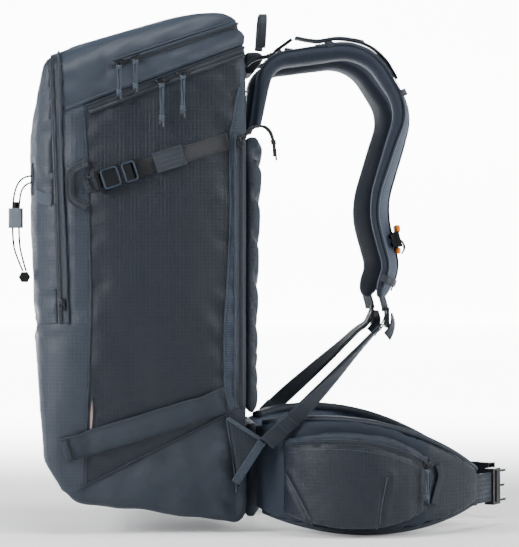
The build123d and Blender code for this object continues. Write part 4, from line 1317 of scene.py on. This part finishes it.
def puffed(obj, pressure, cap):
    """Inflates a closed skin as cloth over its filling, no vertex moving more than cap (mm)."""
    rest = read(obj.data.vertices, "co")
    m = obj.modifiers.new("Cloth", "CLOTH")
    m.settings.quality = 4
    m.settings.mass = 0.25
    m.settings.tension_stiffness = m.settings.compression_stiffness = 18
    m.settings.shear_stiffness = 6
    m.settings.bending_stiffness = 0.4
    m.settings.use_pressure = True
    m.settings.uniform_pressure_force = pressure
    m.settings.effector_weights.gravity = 0
    m.point_cache.frame_start, m.point_cache.frame_end = 1, PUFF_FRAMES
    scene = bpy.context.scene
    for frame_number in range(1, PUFF_FRAMES + 1):
        scene.frame_set(frame_number)
    graph = bpy.context.evaluated_depsgraph_get()
    moved = read(obj.evaluated_get(graph).data.vertices, "co") - rest
    obj.modifiers.remove(m)
    scene.frame_set(1)
    size = np.linalg.norm(moved, axis=1, keepdims=True)
    moved *= np.minimum(1, cap * MM / np.maximum(size, 1e-9))
    obj.data.vertices.foreach_set("co", (rest + moved).ravel())
    obj.data.update()
    return obj


def pushed(obj, depth):
    """Moves each vertex along its normal by depth(points, normals) in millimetres."""
    co = read(obj.data.vertices, "co")
    normals = read(obj.data.vertex_normals, "vector")
    obj.data.vertices.foreach_set("co", (co + normals * (depth(co / MM, normals) * MM)[:, None]).ravel())
    obj.data.update()
    return obj


def dressed(obj, materials, face_rule=None):
    """Materials by face, smooth shading, subdivision and UVs."""
    data = obj.data
    data.materials.clear()
    set_materials(data, materials)
    if face_rule is not None:
        centres = np.array([p.center for p in data.polygons]) / MM
        normals = np.array([p.normal for p in data.polygons])
        data.polygons.foreach_set("material_index", np.asarray(face_rule(centres, normals), np.int32))
    data.polygons.foreach_set("use_smooth", [True] * len(data.polygons))
    box_uv(subdivided(obj).data)


def near_line(points, line):
    """Distance of points (N x 2) from a polyline."""
    line = np.asarray(line, float)
    best = np.full(len(points), 1e9)
    for a, b in zip(line, line[1:]):
        t = np.clip(((points - a) @ (b - a)) / max((b - a) @ (b - a), 1e-9), 0, 1)
        best = np.minimum(best, np.linalg.norm(points - (a + t[:, None] * (b - a)), axis=1))
    return best


def groove(distance, width, depth):
    return -depth * np.exp(-(distance / width) ** 2)


def rough(points, scale, seed):
    """Noise for the padded pieces."""
    return noise_at(points, scale, (seed, 0, 0))


# Back panel: mesh-covered foam blocks with slanting air channels.
back_pad = puffed(remeshed("back_panel_pad", "back_pad", 0.0045), 4.0, 5.0)


def back_channels(p, n):
    slant = p[:, 2] - 0.55 * np.abs(p[:, 1])
    wave = np.abs(((slant / 46.0) % 1.0) - 0.5) * 46.0
    facing = np.clip(n[:, 0] * 1.5, 0, 1)
    middle = groove(np.abs(p[:, 1]), 9.0, 3.0)
    return (groove(23.0 - wave, 3.2, 2.4) + middle) * facing + 0.25 * rough(p, 14.0, 3.0)


pushed(back_pad, back_channels)
dressed(back_pad, ["back_mesh"])
single(back_pad, "bag", ["back_panel_pad"])

lumbar = puffed(remeshed("lumbar_pad", "lumbar_cushion", 0.0045), 4.0, 5.0)
pushed(lumbar, lambda p, n: groove(np.abs(p[:, 1]), 7.0, 2.5) + 0.3 * rough(p, 16.0, 5.0))
dressed(lumbar, ["back_mesh"])
single(lumbar, "bag", ["lumbar_pad"])

yoke = remeshed("yoke_panel", "yoke_cover", 0.003, 0.0)
pushed(yoke, lambda p, n: 0.35 * rough(p, 9.0, 7.0))
dressed(yoke, ["binding"])
single(yoke, "bag", ["yoke_panel"])


# Belt wings: foam between knit and smooth cloth, bound along the edge.
wing = puffed(remeshed("belt_wing_right", "wing_pad", 0.0045), 4.0, 4.0)
WING_CENTRE, WING_RADIUS = np.array([142.4, -6.6]), 152.0
WING_TOP = [(0, -180), (144, -174), (278, -238)]
WING_BOTTOM = [(0, -284), (130, -309), (278, -277)]


def wing_outward(p):
    away = p[:, :2] - WING_CENTRE
    return away / np.maximum(np.linalg.norm(away, axis=1, keepdims=True), 1e-9)


def arc_height(arc, x):
    """The height at x of the circle through three points (X, Z)."""
    (ax, az), (bx, bz), (cx, cz) = arc
    d = 2 * (ax * (bz - cz) + bx * (cz - az) + cx * (az - bz))
    ux = ((ax**2 + az**2) * (bz - cz) + (bx**2 + bz**2) * (cz - az) + (cx**2 + cz**2) * (az - bz)) / d
    uz = ((ax**2 + az**2) * (cx - bx) + (bx**2 + bz**2) * (ax - cx) + (cx**2 + cz**2) * (bx - ax)) / d
    radius = math.hypot(ax - ux, az - uz)
    return uz + math.copysign(1, bz - uz) * np.sqrt(np.maximum(radius**2 - (np.asarray(x, float) - ux) ** 2, 0))


def wing_plan(x, radius=WING_RADIUS):
    return WING_CENTRE[1] - np.sqrt(np.maximum(radius**2 - (np.asarray(x, float) - WING_CENTRE[0]) ** 2, 1.0))


def wing_waves(p, n):
    return 0.5 * rough(p, 26.0, 11.0) + 0.2 * rough(p, 9.0, 12.0)


pushed(wing, wing_waves)
dressed(wing, ["foam_knit", "air_mesh", "ripstop"],
        lambda c, n: np.where((n[:, :2] * wing_outward(c)).sum(1) < -0.35, 1, np.where(c[:, 0] > 208, 2, 0)))
for piece in pair(wing, "belt_wing_*", ["belt_wing_*"]):
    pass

edges = []
for arc, sign in ((WING_TOP, 1), (WING_BOTTOM, -1)):
    x = np.linspace(14, 276, 90)
    edge = np.stack([x, wing_plan(x), arc_height(arc, x) - sign * 1.6], 1)
    ups = np.tile([0, 0, float(sign)], (len(x), 1))
    edges.append(swept("binding", edge, ups, section(14.5, 8.4, 0.48), ["binding"]))
    for shift in (-6.4, 6.4):
        row = edge + np.cross(tangents(edge), ups) * shift + ups * 2.6
        edges.append(dashes("row", row, ups, "dark_thread"))
pair(join("wing_binding", edges), "belt_wing_*")


# Belt pocket: a puffed ripstop box with darts, a zip under its upper edge and piping round it.
pocket = puffed(remeshed("belt_pocket", "hip_pocket", 0.004), 4.5, 5.0)
DARTS = [[(34, -237), (44, -256), (67, -302)], [(153, -237), (146, -274), (143, -307)],
         [(210, -222), (211, -250), (207, -277)]]
BELT_ZIP = [(16, -208), (125, -197), (228, -240)]


def pocket_form(p, n):
    side = np.clip(n[:, 1] * -1.6, 0, 1)
    flat = p[:, [0, 2]]
    depth = 0.9 * rough(p, 30.0, 21.0) + 0.35 * rough(p, 11.0, 22.0)
    for dart in DARTS:
        d = near_line(flat, np.array(dart, float))
        depth = depth + groove(d, 2.2, 2.6) + 1.6 * np.exp(-((d - 6) / 5.0) ** 2)
    x = p[:, 0]
    over = p[:, 2] - arc_height(BELT_ZIP, np.clip(x, 16, 228))
    depth = depth + groove(np.abs(over), 3.6, 1.6)
    # The full panel sags and folds towards the rear dart.
    near_dart = np.exp(-((x - 134) / 26.0) ** 2) * np.exp(-((p[:, 2] + 262) / 26.0) ** 2)
    fold = 1.9 * near_dart * np.sin((p[:, 2] + 0.5 * x) / 9.0)
    tucked = 5.5 * soft_step(x, 180, 202)
    return side * (depth - tucked + 1.1 * fold + 2.0 * np.exp(-((over + 34) / 26.0) ** 2))


pushed(pocket, pocket_form)
dressed(pocket, ["ripstop", "base_cloth"],
        lambda c, n: np.where(c[:, 2] > arc_height(BELT_ZIP, np.clip(c[:, 0], 16, 228)), 1, 0))
single(pocket, "belt_wing_right", ["belt_pocket"])
bm = bmesh.new()
bm.from_mesh(pocket.data)
bm.from_mesh(wing.data)
POCKET_TREE = BVHTree.FromBMesh(bm)
bm.free()


def on_pocket(points, lift=0.0, step=3.0):
    """A path on the belt pocket's outer face through points seen from the side (X, Z)."""
    spots, ups = [], []
    for x, z in even(points, step):
        hit, normal, _, _ = POCKET_TREE.ray_cast(Vector((x, OUTSIDE, z)) * MM, Vector((0, 1, 0)))
        if hit is not None:
            normal = np.array(normal)
            spots.append(np.array(hit) / MM)
            ups.append(normal if normal[1] < 0 else -normal)
    path, normals = settled(np.array(spots), np.array(ups), step, 4)
    return path + normals * lift, normals


x = np.linspace(36, 212, 60)
zip_line = np.stack([x, arc_height(BELT_ZIP, x)], 1)
path, normals = on_pocket(zip_line, 0.2)
single(zip_band("belt_zip_band", path, normals, 8.0, -1, "base_cloth", 2.6), "belt_wing_right",
       ["belt_pocket_zip"])
path, normals = on_pocket(zip_line - [0, 9], 0.1)
single(dashes("pocket_stitch", path, normals, "cord"), "belt_wing_right")
seams = []
for dart in DARTS:
    path, normals = on_pocket(curve_through(np.array(dart, float), 3.0), 0.2)
    seams.append(swept("seam", path, normals, ring_section(0.8, 6), ["cord"]))
    across = np.cross(tangents(path), normals)
    seams.append(dashes("seam_row", path + across * 2.6 + normals * 0.3, normals, "dark_thread"))
path, normals = on_pocket([(219, -226), (224, -238), (213, -275)], 3.0)
seams.append(swept("tab", path, normals, section(8.5, 2.6, 0.4), ["dark_webbing"]))
single(join("pocket_seams", seams), "belt_wing_right")


# Hip gussets: stitched triangles between the bag and the lower strap.
GUSSET = np.array([(-38.0, -165.0), (12.5, -197.5), (-24.0, -254.0)])
GUSSET_Y = -132.0


def gusset_mesh(name, count=22):
    points, index, faces = [], {}, []
    for side in (1, -1):
        for i in range(count + 1):
            for j in range(count + 1 - i):
                b = np.array([i, j, count - i - j]) / count
                flat = b @ GUSSET
                puff = 3.0 * min(1.0, 27 * b[0] * b[1] * b[2]) ** 0.5
                ripple = 0.5 * math.sin(flat[0] / 5.0 + flat[1] / 9.0) * (puff / 3.0)
                if min(b) == 0 and side < 0:
                    index[(side, i, j)] = index[(1, i, j)]
                    continue
                index[(side, i, j)] = len(points)
                points.append((flat[0], GUSSET_Y - side * (0.4 + puff) - ripple, flat[1]))
    for side in (1, -1):
        for i in range(count):
            for j in range(count - i):
                a, b, c = index[(side, i, j)], index[(side, i + 1, j)], index[(side, i, j + 1)]
                faces.append((a, b, c) if side > 0 else (a, c, b))
                if j < count - 1 - i:
                    d = index[(side, i + 1, j + 1)]
                    faces.append((b, d, c) if side > 0 else (b, c, d))
    return finish_mesh(name, np.array(points) * MM, faces, ["ripstop"])


parts = [gusset_mesh("gusset_cloth")]
middle = GUSSET.mean(0)
for a, b, inset, width in ((GUSSET[0], GUSSET[1], 3.0, 5.0), (GUSSET[1], GUSSET[2], 6.0, 11.0)):
    run = unit(b - a)
    inward = np.array([-run[1], run[0]])
    inward = inward * np.sign(inward @ (middle - a))
    t = np.linspace(0.04, 0.96, 22)[:, None]
    flat = a + (b - a) * t + inward * inset
    path = np.stack([flat[:, 0], np.full(len(flat), GUSSET_Y - 2.6), flat[:, 1]], 1)
    ups = np.tile(RIGHT, (len(path), 1))
    parts.append(swept("band", path, ups, section(width, 3.0, 0.4), ["stretch_rib"]))
    parts += edge_stitches("g", path, ups, width, 1.2, 1.5, "cord")
pair(join("hip_gusset", parts), "bag")
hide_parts("hip_gussets")

# Belt webbing from the wings round the hip buckle's bars.
BELT_Z = -262.0
belt_plan = curve_through([(262, -108), (272, -98), (281.5, -88), (290, -75), (299, -62)], 2.5)
path = np.stack([belt_plan[:, 0], belt_plan[:, 1], np.full(len(belt_plan), BELT_Z)], 1)
t = tangents(path)
ups = np.stack([-t[:, 1], t[:, 0], np.zeros(len(t))], 1)
ups = ups * np.sign((ups[:, :2] * (path[:, :2] - WING_CENTRE)).sum(1))[:, None]
first = webbing("belt_web", path + ups * 0.2, ups, 37, 2.0, "dark_webbing", True)
again = webbing("belt_web_two", blurred(path + ups * 3.2, 8), ups, 37, 1.8, "dark_webbing", True)
bar = swept("belt_bar", path[4:9] + ups[4:9] * 1.6, ups[4:9], section(41, 6.0, 0.4), ["dark_webbing"])
pair(join("belt_web", [first, again, bar]), "belt_wing_*", ["belt_webbing_*"])


# ---------------------------------------------------------------- zip sliders
def tube(name, points, radius, material, step=1.0):
    """A round tube along a smooth path in millimetres."""
    path = curve_through(points, step)
    t = tangents(path)
    up = unit(np.cross(t, (0.31, 0.17, 0.93) if abs(t[0][2]) < 0.9 else (1.0, 0.2, 0.1)))
    for i in range(1, len(up)):
        up[i] = unit(up[i - 1] - t[i] * (up[i - 1] @ t[i]))
    return swept(name, path, up, ring_section(radius), [material])


def zip_slider(name, node, spot, along, normal, ring_down):
    """A slider: waisted body, bridge, and the wire ring its cord passes through."""
    along = unit(np.asarray(along, float))
    normal = unit(normal - along * (normal @ along))
    across = np.cross(normal, along)
    spot = np.asarray(spot, float)
    stations = np.array([-7.0, -6.4, -4.0, -1.0, 2.5, 5.5, 6.8])
    widths = np.array([5.2, 6.4, 6.8, 6.2, 7.6, 8.2, 7.0])
    heights = np.array([1.6, 2.4, 3.0, 3.0, 3.0, 2.5, 1.6])
    outline = section(1.0, 1.0, 0.3)
    rings = [spot + along * s + normal * 2.1 + (outline[:, :1] * w * across + outline[:, 1:] * h * normal)
             for s, w, h in zip(stations, widths, heights)]
    parts = [loft("body", np.array(rings) * MM, ["slider"])]
    arch = [spot + along * s + normal * h for s, h in ((-4.6, 2.6), (-3.4, 4.6), (0, 5.4), (3.4, 4.6), (4.6, 2.6))]
    parts.append(tube("bridge", arch, 0.95, "slider"))
    eye = spot + normal * 4.6
    out = unit(normal * 0.55 + ring_down * 0.85)
    a = np.linspace(0, 2 * math.pi, 22)
    wide_way = unit(np.cross(out, normal + ring_down))
    loop = [eye + out * (3.6 - 3.9 * math.cos(k)) + wide_way * 3.3 * math.sin(k) for k in a]
    parts.append(tube("ring", loop, 0.75, "slider", 0.8))
    single(bevel(join(name, parts), 0.0003), BODY_OF_NODE[node], [node])


DOWN = np.array([0.0, 0.0, -1.0])
SLIDERS = {
    "lid_pocket_slider_front": ((-171.0, 267.8), (0.9478, 0.0017, 0.3189)),
    "lid_pocket_slider_rear": ((-151.0, 274.5), (0.9478, 0.0017, 0.3189)),
    "main_zip_slider_front": ((-119.0, 246.0), (0.9337, 0.0044, 0.3581)),
    "main_zip_slider_rear": ((-93.0, 255.9), (0.9337, 0.0044, 0.3581)),
    "front_zip_slider": ((-239.7, -28.0), (-0.0299, 0.0122, 0.9995)),
    "back_zip_slider": ((-23.4, 172.0), (0, 0, 1)),
}
for node, ((x, z), along) in SLIDERS.items():
    spot, normal = skin_hit((x, OUTSIDE, z), (0, 1, 0))
    zip_slider(node.replace("slider", "slide"), node, spot, along, normal, DOWN)
hit, normal, _, _ = POCKET_TREE.ray_cast(Vector((204.3, OUTSIDE, -226)) * MM, Vector((0, 1, 0)))
normal = np.array(normal) * (-1 if normal.y > 0 else 1)
zip_slider("belt_pocket_slide", "belt_pocket_slider", np.array(hit) / MM, (0.6245, 0.6074, -0.491), normal, DOWN)


# ---------------------------------------------------------------- cords
def route_curve(name, points_m):
    """An open NURBS spline through the CAD route's points, kept straight between them."""
    data = bpy.data.curves.new(name, "CURVE")
    data.dimensions = "3D"
    spline = data.splines.new("NURBS")
    spline.points.add(len(points_m) - 1)
    for point, co in zip(spline.points, points_m):
        point.co = (*co, 1.0)
    spline.order_u = 3
    spline.use_endpoint_u = True
    spline.resolution_u = 12
    return add_object(name, data)


def route_points(name, points_m):
    """The points of a route's curve, in millimetres."""
    obj = route_curve(name + "_route", points_m)
    bpy.context.view_layer.update()
    graph = bpy.context.evaluated_depsgraph_get()
    line = bpy.data.meshes.new_from_object(obj.evaluated_get(graph))
    points = np.array([v.co for v in line.vertices]) / MM
    bpy.data.meshes.remove(line)
    bpy.data.objects.remove(obj)
    return points


STRAND_RADIUS, TIP_RADIUS = 1.3, 1.4


def cord_pull(name, node, points_m, sideways, cloth="cord", knot_at=0.76):
    """A doubled cord through a slider's ring: two laid strands, a knot and two cut ends."""
    route = even(route_points(name, points_m), 0.8)
    along = arc_lengths(route) / arc_lengths(route)[-1]
    t = tangents(route)
    side = unit(sideways - t * (t @ np.asarray(sideways, float))[:, None])
    depth = np.cross(t, side)
    strands = []
    for sign in (1, -1):
        gap = np.interp(along, [0, 0.10, 0.5, knot_at - 0.06, knot_at, knot_at + 0.08, 1.0],
                        [1.9, 1.5, 1.35, 1.2, 0.7, 1.5, 2.3])
        turn = 0.5 * np.sin(along * 9.0) * (along < knot_at)
        centre = route + sign * (side * (gap * np.cos(turn))[:, None] + depth * (gap * np.sin(turn))[:, None])
        short = along <= (1.0 if sign > 0 else 0.94)
        strands.append(swept("strand", centre[short], side[short], ring_section(STRAND_RADIUS), [cloth]))
        tip = centre[short][-4:]
        strands.append(swept("tip", tip, side[short][-4:], ring_section(TIP_RADIUS), ["black_cord"]))
    for share_at, major, count in ((knot_at, 2.1, 3), (0.06, 2.1, 2)):
        for k in range(count):
            middle = int(np.clip(share_at * (len(route) - 1), 1, len(route) - 2))
            middle += int(2.3 * (k - (count - 1) / 2) / 0.8)
            tilt = 0.35 * (-1) ** k
            a = np.linspace(0, 2 * math.pi, 15)
            wrap = [route[middle] + side[middle] * (major * 1.15) * math.cos(v) + depth[middle] * major * math.sin(v)
                    + t[middle] * tilt * major * math.cos(v) for v in a]
            strands.append(tube("wrap", wrap, STRAND_RADIUS, cloth, 0.9))
    obj = join(name, strands)
    single(obj, BODY_OF_NODE[node], [node])


def hanging(x, z, length, lifts=(13.0, 10.5, 9.0)):
    """Three points of a pull hanging in front of the bag's side."""
    points = []
    for down, lift in zip((0, 0.5, 1), lifts):
        origin = np.array([[x, 0.0, z - 3 - down * length]])
        reach = form_reach(origin, np.array([[0.0, -1.0, 0.0]]))[0]
        points.append((x * MM, (-reach - lift) * MM, (z - 3 - down * length) * MM))
    return points


for node, x, z, length in (("lid_pocket_pull_front", -171, 267.8, 44), ("lid_pocket_pull_rear", -151, 274.5, 42),
                           ("main_zip_pull_front", -119, 246, 56), ("main_zip_pull_rear", -93, 255.9, 54)):
    cord_pull(node.replace("pull", "cord"), node, hanging(x, z, length), (1, 0, 0))
back_route = [(-20, -141, 174), (-10, -142, 190), (10, -141, 192), (20, -140, 174), (21, -139, 149)]
cord_pull("back_zip_cord", "back_zip_pull", np.array(back_route) * MM, (0.6, -0.8, 0), cloth="black_cord",
          knot_at=0.72)
belt_route = [(204, -177.4, -230), (204, -179.4, -252), (204, -179.4, -274)]
cord_pull("belt_pocket_cord", "belt_pocket_pull", np.array(belt_route) * MM, (1, 0, 0))

# Helmet cords: one elastic line each, from the front panel through the lock to the toggle.
CORD_DIAMETER = 0.0025
CORD_Y = -80.0
reach = form_reach(np.array([[-140.0, CORD_Y, 127.0]]), np.array([[-1.0, 0.0, 0.0]]))[0]
EXIT_X = -140.0 - reach - 0.4
HELMET = {
    "helmet_cord_outer": [(EXIT_X, 131), (EXIT_X - 13, 131), (-303, 106), (-303, 48), (-297, 28), (-290, 12.3)],
    "helmet_cord_inner": [(EXIT_X, 123), (EXIT_X - 9, 121), (-295, 104), (-295, 48), (-291, 29), (-286, 12.3)],
}
for node, flat in HELMET.items():
    points = [(x * MM, CORD_Y * MM, z * MM) for x, z in flat]
    obj = route_curve(node + "_line", points)
    obj.data.bevel_depth = CORD_DIAMETER / 2
    obj.data.bevel_resolution = 3
    obj.data.use_fill_caps = True
    obj.data.materials.append(MATERIALS["black_cord"])
    length = arc_lengths(route_points(node, points))[-1] * MM
    single(obj, BODY_OF_NODE[node], [node])

# Eyelet patch and slanted tag.
path, normals = hit_path([((OUTSIDE, CORD_Y, z), (1, 0, 0)) for z in np.linspace(147, 107, 14)], 2.0)
slit = swept("cord_patch", path + normals * 0.4, normals, section(11, 1.4, 0.45), ["dark_webbing"])
rows = edge_stitches("p", path, normals, 11, 1.2, 1.1)
single(join("cord_patch", [slit] + rows), "front_flap")
path, normals = hit_path([((OUTSIDE, y, 104 + 0.35 * (y + 116)), (1, 0, 0)) for y in np.linspace(-128, -108, 9)], 2.0)
single(swept("loop_tag", path + normals * 1.0, normals, section(16, 1.0, 0.4), ["tag"]), "front_flap")


# ---------------------------------------------------------------- painted highlight round the buckles' edges, and small parts
def frame_ring(name, spot, first, second, width, height, radius, material):
    """A round-edged rectangular rim, flat in the plane of two directions; here a painted highlight round a buckle's
    edge.
    """
    w, h = width / 2, height / 2
    loop = rounded_path([(-w, -h), (w, -h), (w, h), (-w, h)], [3.0] * 4, 5, closed=True)
    loop = np.vstack([loop, loop[:1]])
    path = np.asarray(spot) + loop[:, :1] * np.asarray(first) + loop[:, 1:] * np.asarray(second)
    normal = unit(np.cross(first, second))
    return swept(name, path, normal, ring_section(radius), [material], caps=False)


# The rims below, paler blue on each black compression buckle's outer face, are painted highlight along the buckle's
# edges.
a = math.radians(COMPRESSION[2])
strap_run = np.array([math.cos(a), 0, math.sin(a)])
strap_rise = np.array([-math.sin(a), 0, math.cos(a)])
out_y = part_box("compression_buckle_female_right")[0].y / MM
for node, shift, width in (("compression_buckle_female_*", -11.0, 20.0), ("compression_buckle_male_*", 13.5, 15.0)):
    centre_x = -171.0 + shift * math.cos(a)
    centre = np.array([centre_x, out_y + 0.2, on_line(COMPRESSION, centre_x)])
    rim = frame_ring(node[:-2] + "_rim", centre, strap_run, strap_rise, width, 23.0, 1.1, "buckle_rim")
    pair(rim, BODY_OF_NODE[node.replace("*", "right")].replace("right", "*"))


# ---------------------------------------------------------------- small trim on the bag
# A hidden pocket's mouth beside the front seam, with its pale lining showing.
z = np.linspace(-141, -192, 26)
path, normals = down_side(np.stack([seam_x(FRONT_SEAM, z) + 5.0, z], 1), 2.0, 0.2)
open_by = np.sin(np.linspace(0, math.pi, len(path)))
mouth = swept("mouth", path, normals, section(3.6, 1.0, 0.45), ["pink_lining"],
              scale=np.stack([0.15 + open_by, np.ones(len(path))], 1))
across = np.cross(tangents(path), normals)
lip = [swept("lip", path + across * (sign * (0.4 + 2.0 * open_by))[:, None] + normals * 0.6, normals,
             ring_section(0.8, 6), ["binding"]) for sign in (1, -1)]
pair(join("pocket_mouth", [mouth] + lip), "bag")

# Reinforced corner of the compression anchor and of the ski band: bar tacks.
tacks = []
for x, line, width in ((-206, COMPRESSION, 18), (-40, COMPRESSION, 18), (-232, SKI_BAND, 28), (-44, SKI_BAND, 28)):
    for shift in (0.0, 2.4):
        mid = on_line(line, x + shift)
        rise = np.linspace(-width / 2, width / 2, 10)
        spots = np.stack([x + shift - rise * math.sin(math.radians(line[2])), mid + rise], 1)
        path, normals = down_side(spots, 1.5, 3.0 if line is COMPRESSION else 5.2)
        tacks.append(dashes("tack", path, normals, "dark_thread", 1.0, 0.25, 0.5))
pair(join("bar_tacks", tacks), "bag")


# ---------------------------------------------------------------- sternum strap
STERNUM_BODY = BODY_OF_NODE["sternum_slider_right"].replace("right", "*")
for name, (cx, cy, cz), (sx, sy, sz) in (("sternum_tab", (180.5, -70.0, 65.5), (4.5, 9.0, 6.5)),
                                         ("sternum_whistle", (181.5, -72.0, 38.0), (4.0, 8.0, 5.0))):
    path = np.array([(cx, cy - sy * t, cz) for t in np.linspace(-1, 1, 9)])
    bit = swept(name, path, (1.0, 0, 0), section(sz * 1.6, sx * 1.5, 0.45), ["orange"])
    pair(bit, STERNUM_BODY)
flap = curve_through([(184, -64, 52), (188, -66, 49), (190, -69, 42), (188, -72, 36)], 2.0)
ups = unit(np.cross((0.0, 1.0, 0.0), tangents(flap)))
pair(webbing("sternum_web", flap, ups, 14, 1.6, "dark_webbing"), STERNUM_BODY)


# ---------------------------------------------------------------- CAD nodes kept as they are
FINISHES = {"frame_sheet": "frame_plastic", "frame_stays": "aluminium", "cord_lock_body": "silver",
            "cord_lock_button": "rubber", "cord_toggle": "rubber"}
CORD_LOCK_ROUNDING, EDGE_ROUNDING = 0.003, 0.0004
for name, node in NODES.items():
    if not node.hide_render:
        node.data.materials.clear()
        set_materials(node.data, [FINISHES.get(name, "buckle")])
        bevel(node, CORD_LOCK_ROUNDING if name == "cord_lock_body" else EDGE_ROUNDING, 3)


# ---------------------------------------------------------------- floor, light and camera
# The cove is wide enough for a camera that stands back to take in every joint at its limit.
COVE_RADIUS, COVE_CURVE, COVE_HEIGHT = 12.0, 1.2, 6.0
CARD_DISTANCE = 5.5
WORLD_STRENGTH = 0.12
LIGHTS = [("key", (-2.7, -1.3, 1.3), 1.3, 150.0), ("rim", (2.8, -1.0, 1.3), 1.2, 100.0),
          ("top", (0.1, -0.5, 2.9), 1.2, 55.0), ("fill", (-0.2, -3.6, 0.6), 2.2, 7.0)]
FLOOR_GAP = 0.0008
COVE_TURNS, COVE_STEPS = 64, 12
CARD_GLOW, FLOOR_GLOW = 9.5, 0.16


def studio():
    """A pale round floor that curves up into a backdrop, the world's light and soft lights."""
    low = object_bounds()[0].z - FLOOR_GAP
    foot = COVE_RADIUS - COVE_CURVE
    profile = [(0.0, low), (foot, low)]
    profile += [(foot + COVE_CURVE * math.sin(a), low + COVE_CURVE * (1 - math.cos(a)))
                for a in np.linspace(0.1, math.pi / 2, COVE_STEPS)]
    profile += [(COVE_RADIUS, low + COVE_HEIGHT)]
    angles = [2 * math.pi * k / COVE_TURNS for k in range(COVE_TURNS)]
    points = [(r * math.cos(a), r * math.sin(a), z) for r, z in profile for a in angles]
    faces = []
    for start in range(0, (len(profile) - 1) * COVE_TURNS, COVE_TURNS):
        for k in range(COVE_TURNS):
            a, b = start + k, start + (k + 1) % COVE_TURNS
            faces.append((a, b, b + COVE_TURNS, a + COVE_TURNS))
    data = bpy.data.meshes.new("floor")
    data.from_pydata(points, [], faces)
    s = Shader("floor")
    place = s.coordinates("Object")[0]
    s.set(Base_Color=s.mix(s.ramp(s.noise(place, 3.0), 0.3, 0.7), (0.84, 0.84, 0.84, 1), (0.88, 0.88, 0.88, 1)),
          Roughness=0.9)
    s.put(s.surface.inputs["Emission Color"], (0.97, 0.985, 1.0, 1))
    # A lit card stands behind the bag: the middle of the backdrop glows, wider as it is further away.
    _, x, y, z = s.coordinates("Object")
    grown = s.math("MAXIMUM", s.math("DIVIDE", y, CARD_DISTANCE), 1.0)
    card = s.math("MULTIPLY", s.ramp(s.math("DIVIDE", s.math("ABSOLUTE", x), grown), 1.3, 2.0, 1.0, 0.0),
                  s.ramp(s.math("DIVIDE", z, grown), 1.2, 1.9, 1.0, 0.0))
    card = s.math("MULTIPLY", card, s.ramp(y, 0.4, 2.2))
    s.put(s.surface.inputs["Emission Strength"], s.math("MULTIPLY_ADD", card, CARD_GLOW, FLOOR_GLOW))
    data.materials.append(s.material)
    data.polygons.foreach_set("use_smooth", [True] * len(data.polygons))
    floor = add_object("floor", data)
    floor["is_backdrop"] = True

    world = bpy.data.worlds.new("studio")
    world.use_nodes = True
    background = world.node_tree.nodes["Background"]
    background.inputs[0].default_value = (0.96, 0.98, 1.0, 1)
    background.inputs[1].default_value = WORLD_STRENGTH
    bpy.context.scene.world = world
    for name, spot, size, power in LIGHTS:
        lamp = bpy.data.lights.new(name, "AREA")
        lamp.size = size
        lamp.energy = power
        light = add_object(name, lamp)
        light.location = spot
        light.rotation_euler = (-Vector(spot)).to_track_quat("-Z", "Y").to_euler()


studio()

AZIMUTH, ELEVATION, DISTANCE = math.radians(-4), math.radians(0.3), 3.2
TARGET = Vector((0.010, -0.02, 0.009))
VIEW_HEIGHT, SENSOR = 0.700, 36.0
camera_data = bpy.data.cameras.new("camera")
camera_data.lens = SENSOR * DISTANCE / VIEW_HEIGHT
camera_data.clip_end = 50
camera = add_object("camera", camera_data)
back = Vector((math.sin(AZIMUTH) * math.cos(ELEVATION), -math.cos(AZIMUTH) * math.cos(ELEVATION),
               math.sin(ELEVATION)))
camera.location = TARGET + back * DISTANCE
camera.rotation_euler = (-back).to_track_quat("-Z", "Y").to_euler()
bpy.context.scene.camera = camera

bpy.context.view_layer.update()
